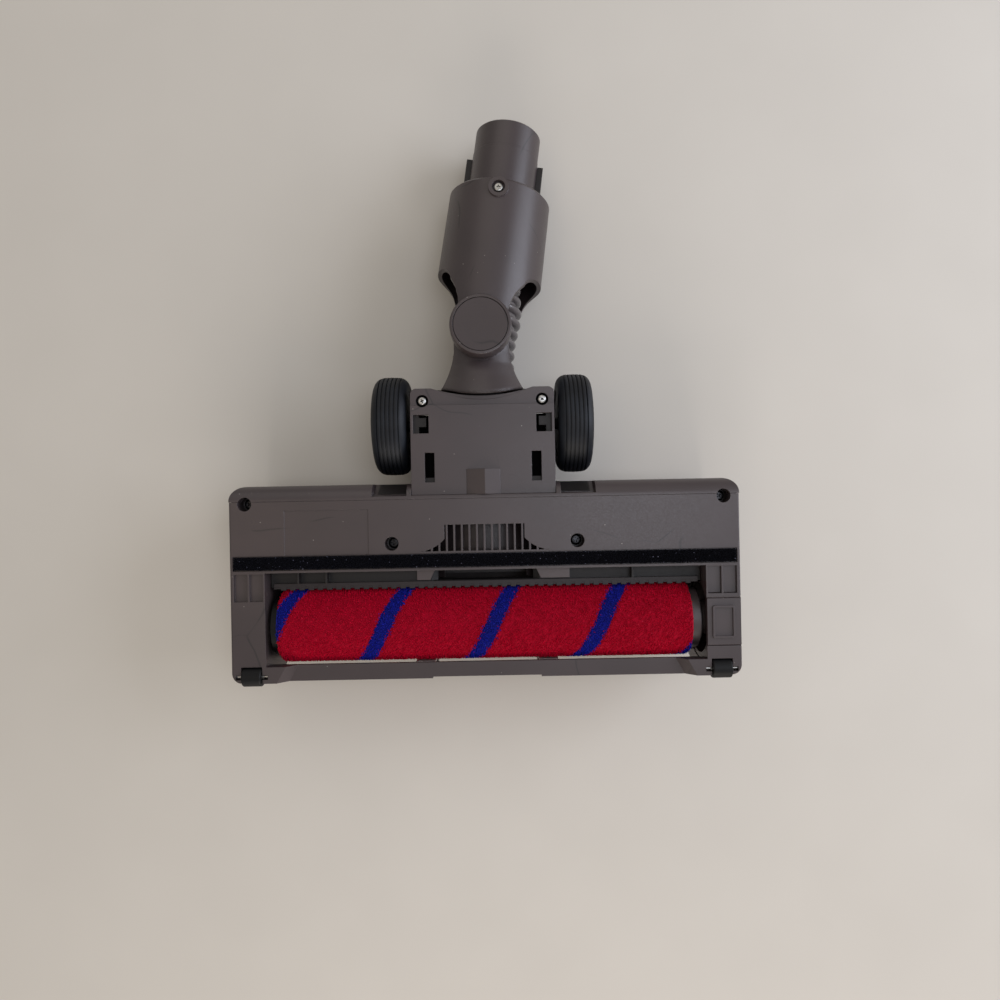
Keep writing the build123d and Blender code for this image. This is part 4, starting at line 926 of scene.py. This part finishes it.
@dataclass
class RoadWheel:
    """One rear wheel's rubber tyre with its ribbed tread."""

    side: Side
    bore_mm: float = 17.0
    inset_mm: float = 0.5
    shoulder_mm: float = 4.4
    crown_mm: float = 0.7
    groove_pitch_mm: float = 2.1
    groove_width_mm: float = 0.6
    groove_depth_mm: float = 0.9
    groove_round_mm: float = 0.14
    groove_angle: float = 50.0
    grooves: int = 6
    steps: int = 120

    def build(self) -> None:
        """Turns the tyre from a cylinder: shoulders, bore, side wall and tread grooves."""
        node = f"wheel_tyre_{self.side.value}"
        low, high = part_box(node)
        centre = (low + high) / 2
        radius = (high.z - low.z) / 2
        bore = self.bore_mm * MM
        half = (high.x - low.x) / 2 - self.inset_mm * MM
        piece = Workpiece.cylinder(f"tyre_{self.side.value}", self.steps, radius, 2 * half, centre, "X")

        def out(p: Vector) -> float:
            """Distance from the wheel's axis."""
            return math.hypot(p.y - centre.y, p.z - centre.z)

        piece.bore(lambda c, n: abs(n.x) > FACING, radius - bore)
        piece.round_edges(
            lambda a, b: min(out(a), out(b)) > radius - NEAR and abs(a.x - b.x) < NEAR, self.shoulder_mm, 6
        )
        places = [(i - (self.grooves - 1) / 2) * self.groove_pitch_mm * MM for i in range(self.grooves)]
        lip = self.groove_width_mm * MM / 2
        for place in places:
            for edge in (-lip, lip):
                piece.cut(Vector((centre.x + place + edge, 0, 0)), Vector((1, 0, 0)))
        piece.pick(
            "FACE",
            lambda c, n: out(c) > radius - self.shoulder_mm * MM
            and any(abs(c.x - centre.x - place) < lip for place in places),
        )
        bpy.ops.mesh.extrude_region_shrink_fatten(
            TRANSFORM_OT_shrink_fatten={"value": -self.groove_depth_mm * MM}
        )
        piece.done()

        def crown(p: Vector) -> Vector:
            """Draws the tread in towards the tyre's two sides.

            Args:
                p: A point of the tyre.

            Returns:
                Its new place.
            """
            share = min(1.0, max(0.0, (out(p) - bore) / (radius - bore)))
            drop = self.crown_mm * MM * share * ((p.x - centre.x) / half) ** 2
            scale = 1.0 - drop / out(p)
            return Vector((p.x, centre.y + (p.y - centre.y) * scale, centre.z + (p.z - centre.z) * scale))

        piece.move_points(crown)
        piece.outward()
        piece.modify(
            "BEVEL",
            width=self.groove_round_mm * MM,
            segments=2,
            limit_method="ANGLE",
            angle_limit=math.radians(self.groove_angle),
        )
        piece.smooth()
        piece.dress("tyre_rubber", f"wheel_{self.side.value}", [node])


@dataclass
class NeckHose:
    """The wire-wound hose inside the neck, which bends where the cuff swivels."""

    radius_mm: float = 16.2
    lump_mm: float = 2.6
    lump_half_mm: float = 2.1
    wall_mm: float = 1.0
    pitch_mm: float = 6.3
    bow_mm: float = 0.9
    bulge_mm: float = 2.2
    bulge_at_mm: float = 12.0
    bulge_reach_mm: float = 12.0
    bend_mm: float = 8.0
    cuts_per_lump: int = 14
    steps: int = 72

    def __post_init__(self) -> None:
        """Reads the hose's line from the two neck joints and its own box."""
        pitch_point, _ = joint("neck_pitch")
        self.pivot, self.up = joint("neck_swivel")
        self.inward = (self.pivot - pitch_point).normalized()
        tube_low, tube_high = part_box("wand_tube")
        hose_low, hose_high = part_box("hose")
        tip = (tube_low + tube_high) / 2 - self.pivot
        flat = tip - self.up * tip.dot(self.up)
        self.outward = flat.normalized()
        self.turn = math.atan2(
            self.up.dot(self.inward.cross(self.outward)), self.inward.dot(self.outward)
        )
        self.start = (Vector((0, hose_low.y, self.pivot.z)) - self.pivot).dot(self.inward)
        self.stop = (Vector((hose_high.x, hose_high.y, self.pivot.z)) - self.pivot).dot(self.outward)

    def at(self, along: float) -> tuple[Vector, float]:
        """Follows the hose's line: straight, an even bend about the swivel, straight.

        Args:
            along: Distance from the swivel, negative towards the head.

        Returns:
            The point of the line and how far it has turned there.
        """
        bend = self.bend_mm * MM
        if along <= -bend:
            return self.pivot + self.inward * along, 0.0
        if along >= bend:
            return self.pivot + self.outward * along, self.turn
        share = (along + bend) / (2 * bend)
        begin = self.pivot - self.inward * bend
        finish = self.pivot + self.outward * bend
        point = begin * (1 - share) ** 2 + self.pivot * 2 * share * (1 - share) + finish * share**2
        return point, self.turn * share

    def lay(self, point: Vector) -> Vector:
        """Bends the straight hose, which is modelled along Y, onto the hose's line.

        Args:
            point: A point of the straight hose.

        Returns:
            Its place on the line.
        """
        centre, turned = self.at(point.y)
        side = Matrix.Rotation(turned, 3, self.up) @ Vector((1, 0, 0))
        inset = min(point.y - self.start, self.stop - point.y) / min(-self.start, self.stop)
        bow = self.bow_mm * math.sin(math.pi / 2 * max(0.0, min(1.0, inset)))
        from_bulge = (point.y / MM - self.bulge_at_mm) / self.bulge_reach_mm
        bulge = self.bulge_mm * math.exp(-(from_bulge**2))
        return centre + side * (point.x + (bow + bulge) * MM) + self.up * point.z

    def swell(self, point: Vector) -> Vector:
        """Draws the straight outer wall in between two coils, and leaves the bore as it is.

        Args:
            point: A point of the straight hose.

        Returns:
            Its new place.
        """
        out = math.hypot(point.x, point.z)
        crown = self.radius_mm * MM
        if out < crown - NEAR:
            return point
        away = ((point.y - self.start) / MM) % self.pitch_mm - self.pitch_mm / 2
        rise = math.sqrt(max(0.0, 1.0 - (away / self.lump_half_mm) ** 2))
        scale = (crown - self.lump_mm * MM * (1.0 - rise)) / out
        return Vector((point.x * scale, point.y, point.z * scale))

    def build(self) -> None:
        """Turns the wall from a cylinder, blows up its lumps and bends it between neck and cuff."""
        length = self.stop - self.start
        middle = (0, (self.stop + self.start) / 2, 0)
        piece = Workpiece.cylinder("neck_hose", self.steps, self.radius_mm * MM, length, middle, "Y")
        piece.bore(lambda c, n: abs(n.y) > FACING, (self.lump_mm + self.wall_mm) * MM)
        step = self.pitch_mm * MM / self.cuts_per_lump
        for index in range(1, math.ceil(length / step)):
            piece.cut(Vector((0, self.start + step * index, 0)), Vector((0, 1, 0)))
        piece.move_points(self.swell)
        piece.outward()
        piece.move_points(self.lay)
        piece.smooth(50)
        piece.dress("hose_vinyl", None, ["hose"])
        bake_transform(piece.obj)


@dataclass
class CrossScrew:
    """A pan-head screw with a cross recess, as on every cover of the head.

    The shares are parts of the head's radius across the screw and of its height along it.
    """

    head_mm: float
    height_mm: float
    length_mm: float = 5.0
    shank_share: float = 0.5
    round_shares: Pair = (0.4, 0.6)
    recess_shares: Triple = (1.15, 0.3, 0.75)
    recess_taper: Pair = (0.45, 0.6)
    sides: int = 32

    def model(self, name: str) -> Workpiece:
        """Models the screw at the origin, with its seat at zero and its head up.

        Args:
            name: The piece's name.

        Returns:
            The screw.
        """
        height = self.height_mm * MM
        piece = Workpiece.cylinder(name, self.sides, self.head_mm * MM, height, (0, 0, height / 2))
        across, along = self.round_shares
        edge_mm = min(self.height_mm * along, self.head_mm * across)
        piece.round_edges(lambda a, b: min(a.z, b.z) > height - NEAR, edge_mm, 4)
        piece.pick("FACE", lambda c, n: n.z < -FACING)
        bpy.ops.mesh.inset(thickness=self.head_mm * (1.0 - self.shank_share) * MM)
        bpy.ops.mesh.extrude_region_move(
            TRANSFORM_OT_translate={"value": (0, 0, -self.length_mm * MM)}
        )
        piece.done()
        for turn in (0, math.pi / 2):
            piece.combine(self.blade(turn), "DIFFERENCE")
        piece.outward()
        piece.smooth(30)
        return piece

    def blade(self, turn: float) -> Workpiece:
        """One of the two tapered slots of the recess, as a cutter.

        Args:
            turn: Its turn about the screw.

        Returns:
            The cutter.
        """
        head = self.head_mm * MM
        top = self.height_mm * MM
        long, wide, deep = self.recess_shares
        Workpiece.clear_bench()
        bpy.ops.mesh.primitive_cube_add(
            size=1.0,
            location=(0, 0, top),
            rotation=(0, 0, turn),
            scale=(head * long, head * wide, 2 * top * deep),
        )
        cutter = Workpiece("recess")
        taper_x, taper_y = self.recess_taper
        cutter.move_points(lambda p: Vector((p.x * taper_x, p.y * taper_y, p.z)) if p.z < top else p)
        return cutter


@dataclass
class Fasteners:
    """All the screws: four black ones in the sole, two plated ones in the chassis, one in the cuff."""

    apart_mm: float = 18.0
    rim_share: float = 0.9
    seed: int = 3

    def build(self) -> None:
        """Models each screw on the solid that it stands for."""
        draw = random.Random(self.seed)
        up = Vector((0, 0, 1))
        _, cuff_up = joint("neck_swivel")
        for node, finish, body, axis in (
            ("sole_screws", "black_steel", "head", up),
            ("chassis_screws", "pin_steel", "head", up),
            ("cuff_screw", "pin_steel", "cuff", cuff_up),
        ):
            screws = []
            for points in solids(node, self.apart_mm * MM):
                tops = [p.dot(axis) for p in points]
                head = [p for p in points if p.dot(axis) > max(tops) - NEAR]
                middle = sum(head, Vector()) / len(head)
                reach = [(p - middle - axis * (p - middle).dot(axis)).length for p in points]
                radius = max(reach)
                height = max(tops) - min(t for t, r in zip(tops, reach) if r > self.rim_share * radius)
                screw = CrossScrew(radius / MM, height / MM).model(f"{node}_heads")
                turn = Matrix.Rotation(draw.uniform(0, math.tau), 4, "Z")
                aim = up.rotation_difference(axis).to_matrix().to_4x4()
                seat = middle - axis * height
                screw.obj.data.transform(Matrix.Translation(seat) @ aim @ turn)
                screws.append(screw)
            Workpiece.joined(screws).dress(finish, body, [node])


@dataclass(frozen=True)
class Well:
    """A black floor of painted shade under one of the cover's openings: its middle and half sizes in plan, its
    depth.
    """

    middle_mm: Pair
    half_mm: Pair
    depth_mm: float


@dataclass
class CarrierCover:
    """The wheel carrier's cover: square-cut slots over black wells of painted shade, a roofed bump, a shallow rear
    notch.

    Places in plan count from the middle of the cover's front edge.
    """

    sheet_mm: float = 2.5
    slot_half_mm: Pair = (2.4, 7.3)
    slot_well: Well = Well((26.35, 13.5), (2.9, 7.9), 2.6)
    opening_well: Well = Well((28.85, 34.9), (2.55, 4.9), 5.2)
    well_sheet_mm: float = 0.8
    bump_half_mm: float = 8.2
    bump_length_mm: float = 12.4
    bump_height_mm: float = 3.2
    bump_eaves_mm: float = 0.5
    bump_ridge_mm: float = 0.8
    notch_half_mm: float = 21.8
    notch_depth_mm: float = 2.9
    notch_end_mm: float = 1.0
    notch_sides: int = 256
    band_mm: Pair = (7.5, 1.1)
    band_drop_mm: float = 0.9
    # a black ring under each carrier screw paints the shade of its counterbore
    shade_ring_mm: float = 3.05
    shade_ring_height_mm: float = 0.9
    shade_ring_sides: int = 40
    # dark sheets that paint the tyres' shade into the wheel recesses of the rear lip
    shade_sheet_x_mm: Pair = (38.0, 52.5)
    shade_sheet_foot_mm: float = 0.75
    shade_sheet_length_mm: float = 5.0
    shade_sheet_drop_mm: float = 0.2
    shade_sheet_slope: float = 1.935
    shade_layer_mm: float = 0.3
    skin_mm: float = 0.1
    clear_mm: float = 1.0
    level_mm: float = 8.0
    cutter_mm: float = 20.0

    def __post_init__(self) -> None:
        """Reads the cover's place from the frame."""
        low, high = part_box("chassis_cover")
        self.front = low.y / MM
        self.rear = high.y / MM
        self.under = low.z / MM
        self.top = self.under + self.sheet_mm

    def slab(self, name: str, side: int, well: Well, half: Pair, low: float, high: float) -> Workpiece:
        """Makes a box of this half size in plan round the middle of one side's well."""
        x, y = side * well.middle_mm[0], self.front + well.middle_mm[1]
        return Workpiece.block(name, (x - half[0], y - half[1], low), (x + half[0], y + half[1], high))

    def bump(self) -> Workpiece:
        """Models the bump: a low roof whose ridge runs a little right of the middle.

        Returns:
            The bump.
        """
        half = self.bump_half_mm
        ridge = self.bump_ridge_mm * MM
        piece = Workpiece.block(
            "bump",
            (-half, self.front, self.top - self.bump_eaves_mm),
            (half, self.front + self.bump_length_mm, self.top + self.bump_height_mm),
        )
        piece.cut(Vector((ridge, 0, 0)), Vector((1, 0, 0)))
        slope = (self.bump_height_mm - self.bump_eaves_mm) / half

        def roof(p: Vector) -> Vector:
            """Slopes the top down from the ridge."""
            drop = slope * abs(p.x - ridge) if p.z >= self.top * MM else 0.0
            return Vector((p.x, p.y, p.z - drop))

        piece.move_points(roof)
        return piece

    def notch(self) -> Workpiece:
        """Models the round cutter of the rear notch.

        Returns:
            The cutter.
        """
        half, depth = self.notch_half_mm, self.notch_depth_mm
        radius = (half * half + depth * depth) / (2 * depth)
        middle = (0, (self.rear - self.notch_end_mm - depth + radius) * MM, self.top * MM)
        return Workpiece.cylinder("notch", self.notch_sides, radius * MM, self.cutter_mm * MM, middle)

    def build(self) -> None:
        """Reworks a copy of the cover and sets the black and dark sheets of painted shade under and beside it."""
        cover = Workpiece.of_node("cover_plate", "chassis_cover")
        half = self.notch_half_mm
        level = Workpiece.block(
            "level",
            (-half / 2, self.front - self.clear_mm, self.top),
            (half / 2, self.front + self.bump_length_mm + self.clear_mm, self.top + self.level_mm),
        )
        cover.combine(level, "DIFFERENCE")
        cover.combine(self.bump(), "UNION")
        band = Workpiece.block(
            "band",
            (-half + self.skin_mm, self.rear - self.band_mm[0], self.under + self.skin_mm),
            (half - self.skin_mm, self.rear - self.band_mm[1], self.top - self.band_drop_mm),
        )
        cover.combine(band, "UNION")
        cover.combine(self.notch(), "DIFFERENCE")
        wells = []
        for side in (-1, 1):
            low, high = self.under - self.clear_mm, self.top + self.clear_mm
            slot = self.slab("slot", side, self.slot_well, self.slot_half_mm, low, high)
            cover.combine(slot, "DIFFERENCE")
            # each well's black floor paints the shade under its opening
            for well in (self.slot_well, self.opening_well):
                top = self.under - well.depth_mm
                low = top - self.well_sheet_mm
                wells.append(self.slab("carrier_wells", side, well, well.half_mm, low, top))
        cover.smooth(30)
        cover.dress("grey_abs", "head", ["chassis_cover"])
        Workpiece.joined(wells).dress("painted_shade_black", "head")
        self.washers()
        self.liners()

    def washers(self) -> None:
        """Lays a black ring of painted shade under each of the carrier's two screws, where its counterbore lies in
        shade.
        """
        low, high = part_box("chassis_screws")
        reach = high.x - (high.y - low.y) / 2
        middle = (low.y + high.y) / 2
        height = (self.under + self.shade_ring_height_mm) * MM
        size = (self.shade_ring_sides, self.shade_ring_mm * MM, self.shade_layer_mm * MM)
        places = [(side * reach, middle, height) for side in (-1, 1)]
        washers = [Workpiece.cylinder("carrier_washers", *size, place) for place in places]
        Workpiece.joined(washers).dress("painted_shade_black", "head")

    def liners(self) -> None:
        """Lays a dark sheet of painted shade on the sloping floor of each wheel's recess in the head's rear lip,
        where the tyre shades it.
        """
        foot = self.front + self.shade_sheet_foot_mm

        def slope(p: Vector) -> Vector:
            """Tips the sheet down towards the rear."""
            return Vector((p.x, p.y, p.z - self.shade_sheet_drop_mm * MM - self.shade_sheet_slope * (p.y - foot * MM)))

        liners = []
        for side in (-1, 1):
            inner, outer = sorted(side * x for x in self.shade_sheet_x_mm)
            low = (inner, foot, self.under)
            high = (outer, foot + self.shade_sheet_length_mm, self.under + self.shade_layer_mm)
            shade_sheet = Workpiece.block("lip_liners", low, high)
            shade_sheet.move_points(slope)
            liners.append(shade_sheet)
        Workpiece.joined(liners).dress("dark_abs", "head")


@dataclass
class MouthPads:
    """Small blocks in the mouth.

    A web leaves short gaps between the comb's teeth, a stop stands on each side of the throat, and a pale
    block of painted light sits on each bridge of the front bar, whose face lies in shade.
    """

    web_gap_mm: float = 0.7
    web_rear_mm: float = 0.6
    skin_mm: float = 0.1
    bridge_mm: float = 31.2
    bridge_light_half_mm: float = 4.85
    bridge_light_drop_mm: float = 10.0
    bridge_light_y_mm: Pair = (-2.1, -0.65)
    stops_mm: tuple[Pair, ...] = ((-34.2, -25.2), (25.2, 42.0))
    stop_height_mm: float = 2.2
    stop_lean_mm: float = 2.4
    stop_from_comb_mm: float = 0.65
    stop_from_felt_mm: float = 1.5

    def web(self) -> Workpiece:
        """Lays the web between the comb's teeth.

        Returns:
            The web.
        """
        low, high = (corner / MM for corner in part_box("comb_strip"))
        return Workpiece.block(
            "comb_web",
            (low.x, low.y + self.web_gap_mm, low.z + self.skin_mm),
            (high.x, high.y - self.web_rear_mm, high.z - self.skin_mm),
        )

    def stops(self) -> list[Workpiece]:
        """Sets the stops on the ledge, between the comb and the felt.

        Returns:
            The stops.
        """
        ledge, comb = (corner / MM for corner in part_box("comb_strip"))
        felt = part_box("felt_strip")[0] / MM
        made = []
        for start, stop in self.stops_mm:
            low = (start, comb.y + self.stop_from_comb_mm, ledge.z)
            high = (stop, felt.y - self.stop_from_felt_mm, ledge.z + self.stop_height_mm)
            block = Workpiece.block("throat_stops", low, high)
            throat = min(abs(start), abs(stop))

            def lean(p: Vector) -> Vector:
                """Moves the front corner beside the throat outwards."""
                beside = p.y < low[1] * MM + NEAR and abs(p.x) < throat * MM + NEAR
                return p + Vector((math.copysign(self.stop_lean_mm * MM, p.x), 0, 0)) if beside else p

            block.move_points(lean)
            made.append(block)
        return made

    def pads(self) -> list[Workpiece]:
        """Sets the pale blocks of painted light behind the front bar.

        Returns:
            The pale blocks.
        """
        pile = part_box("roller_pile_red")[0] / MM
        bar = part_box("sole_frame")[0] / MM
        front, rear = self.bridge_light_y_mm
        made = []
        for side in (-1, 1):
            middle = side * self.bridge_mm
            low = (middle - self.bridge_light_half_mm, pile.y + front, bar.z - self.bridge_light_drop_mm)
            high = (middle + self.bridge_light_half_mm, pile.y + rear, bar.z - self.skin_mm)
            made.append(Workpiece.block("bridge_pads", low, high))
        return made

    def build(self) -> None:
        """Builds and dresses the web, the stops and the pale blocks of painted light on the bridges."""
        # the web is dressed in painted shade, like the comb
        self.web().dress("painted_shade_abs", "head")
        # the stops wear the lighter grey that paints light on them
        Workpiece.joined(self.stops()).dress("stop_painted_light_abs", "head")
        # pale blocks: painted light on the bridges' shaded faces
        Workpiece.joined(self.pads()).dress("painted_light_abs", "head")


@dataclass
class CuffWindows:
    """The cuff's shell with its two windows widened towards the swivel, so that the hose shows."""

    outline_mm: tuple[Pair, ...] = (
        (12.3, 9.4), (13.3, 14.5), (15.2, 19.5), (18.4, 24.6), (22.0, 28.6),
        (30.0, 29.0), (34.0, 20.0), (30.0, 4.0), (15.6, 4.0),
    )
    reach_mm: float = 40.0
    eye_mm: float = 15.3
    eye_chamfer_mm: float = 0.7

    def __post_init__(self) -> None:
        """Takes the swivel's place and directions from the hose."""
        hose = NeckHose()
        self.pivot, self.up, self.along = hose.pivot, hose.up, hose.outward
        self.across = self.along.cross(self.up)

    def cutter(self, side: int) -> Workpiece:
        """Models one window's cutter: a prism across the cuff.

        Args:
            side: -1 or 1, the side of the cuff.

        Returns:
            The cutter.
        """
        count = len(self.outline_mm)
        reach = self.up * self.reach_mm
        piece = Workpiece.cylinder("window", count, 1.0, 2.0, (0, 0, 0))

        def place(p: Vector) -> Vector:
            """Puts a corner of the prism at its place in the outline."""
            u, v = self.outline_mm[round(math.atan2(p.x, p.y) / math.tau * count) % count]
            return self.pivot + (self.across * (side * u) + self.along * v + reach * p.z) * MM

        piece.move_points(place)
        piece.outward()
        return piece

    def chamfer_eye(self, shell: Workpiece) -> None:
        """Breaks the outer edge of the round eye that holds the front swivel plug.

        Args:
            shell: The cuff's shell.
        """

        def polar(p: Vector) -> Pair:
            """Distance from the swivel's axis and height along it."""
            height = (p - self.pivot).dot(self.up)
            return (p - self.pivot - self.up * height).length, height

        eye = self.eye_mm * MM
        places = [polar(v.co) for v in shell.obj.data.vertices]
        top = max(height for reach, height in places if abs(reach - eye) < NEAR)

        def on_rim(p: Vector) -> bool:
            """Whether a point lies on the eye's outer edge."""
            reach, height = polar(p)
            return abs(reach - eye) < NEAR and abs(height - top) < NEAR

        shell.round_edges(lambda a, b: on_rim(a) and on_rim(b), self.eye_chamfer_mm, 2)

    def build(self) -> None:
        """Cuts both windows out of a copy of the shell."""
        shell = Workpiece.of_node("cuff_body", "cuff_shell")
        for side in (-1, 1):
            shell.combine(self.cutter(side), "DIFFERENCE")
        self.chamfer_eye(shell)
        shell.smooth(30)
        shell.dress("grey_abs", "cuff", ["cuff_shell"])


@dataclass(frozen=True)
class Lamp:
    """A square soft lamp: its place and its side in metres, its power in watts."""

    name: str
    place: Triple
    size: float
    power: float
    colour: str

    def hang(self, target: Vector) -> None:
        """Hangs the lamp.

        Args:
            target: The point that it looks at.
        """
        data = bpy.data.lights.new(self.name, "AREA")
        data.size = self.size
        data.energy = self.power
        data.color = linear(self.colour)[:3]
        lamp = add_object(self.name, data)
        lamp.location = self.place
        lamp.rotation_euler = (target - Vector(self.place)).to_track_quat("-Z", "Y").to_euler()


@dataclass
class Studio:
    """Floor, lamps and camera for the picture."""

    lamps: tuple[Lamp, ...] = (
        Lamp("key", (0.98, 0.28, 0.5), 0.8, 8.5, "#eaf0ff"),
        Lamp("window", (0.27, 0.1, 1.2), 0.45, 2.3, "#eef3ff"),
        Lamp("front", (0.05, -0.95, 0.45), 0.6, 5.0, "#fff4ea"),
        Lamp("rear", (-0.15, 0.95, 0.75), 0.8, 1.3, "#fff6ec"),
        Lamp("room", (-0.5, 0.1, 1.2), 0.4, 0.6, "#ffe2c4"),
    )
    target: Triple = (0, 0.05, 0.03)
    sky: str = "#e9e6e0"
    sky_strength: float = 0.44
    floor: str = "#d0cbc3"
    floor_mottle: str = "#cac5bd"
    floor_mottle_mm: float = 60.0
    floor_size: float = 6.0
    focal_px: float = 751.0
    image_px: int = 1000
    sensor_mm: float = 36.0
    camera_mm: Triple = (7.94, 39.4, 429.4)
    camera_turn: float = -1.1
    clip_start: float = 0.01

    def build(self) -> None:
        """Sets the floor, the lamps, the world and the camera."""
        self.lay_floor()
        for lamp in self.lamps:
            lamp.hang(Vector(self.target))
        world = bpy.data.worlds.new("room")
        bpy.context.scene.world = world
        world.use_nodes = True
        sky = world.node_tree.nodes["Background"]
        sky.inputs["Color"].default_value = linear(self.sky)
        sky.inputs["Strength"].default_value = self.sky_strength
        self.place_camera()
        bpy.context.scene.view_settings.view_transform = "Standard"

    def lay_floor(self) -> None:
        """Lays a wide pale floor under the object."""
        Workpiece.clear_bench()
        bpy.ops.mesh.primitive_plane_add(size=self.floor_size)
        floor = Workpiece("floor")
        paint = Paint("floor_paper")
        colour = paint.mix(paint.noise(self.floor_mottle_mm, 2.0), self.floor, self.floor_mottle)
        paper = paint.finish({"Base Color": colour, "Roughness": 0.9, "Specular IOR Level": 0.1})
        floor.obj.data.materials.append(paper)

    def place_camera(self) -> None:
        """Hangs the camera straight over the object, as the picture was taken."""
        data = bpy.data.cameras.new("camera")
        data.sensor_width = self.sensor_mm
        data.lens = self.focal_px * self.sensor_mm / self.image_px
        data.clip_start = self.clip_start
        camera = add_object("camera", data)
        camera.location = [value * MM for value in self.camera_mm]
        camera.rotation_euler = (0, 0, math.radians(self.camera_turn))
        bpy.context.scene.camera = camera


def dress_frame() -> None:
    """Gives every solid of the frame the finish of its slot, and a few solids one of their own."""
    special = {
        "chassis_base": "dark_abs",
        # the comb takes the darker copy of the body's ABS, painted shade for the mouth
        "comb_strip": "painted_shade_abs",
        "neck_skirt_front": "flared_abs",
        "neck_skirt_back": "flared_abs",
        "drive_shaft": "black_steel",
        "drive_bearing": "black_steel",
        "wheel_axle_left": "hub_nylon",
        "wheel_axle_right": "hub_nylon",
        "air_duct": "grey_abs",
    }
    for row in frame["record"]["subparts"]:
        solid = frame["nodes"][row["node"]]
        finish = special.get(row["node"], row["material_slot"])
        solid.data.materials.clear()
        solid.data.materials.append(material(finish))
        LOG.info("%s: %s", row["node"], finish)


def main() -> None:
    """Builds the object's looks in order."""
    logging.basicConfig(level=logging.INFO, format="%(name)s %(message)s")
    dress_frame()
    makers = [Roller(), FeltStrip(), *(RoadWheel(side) for side in Side), NeckHose(), Fasteners()]
    makers += [CarrierCover(), MouthPads(), CuffWindows(), Studio()]
    for maker in makers:
        maker.build()


if __name__ == "__main__":
    main()
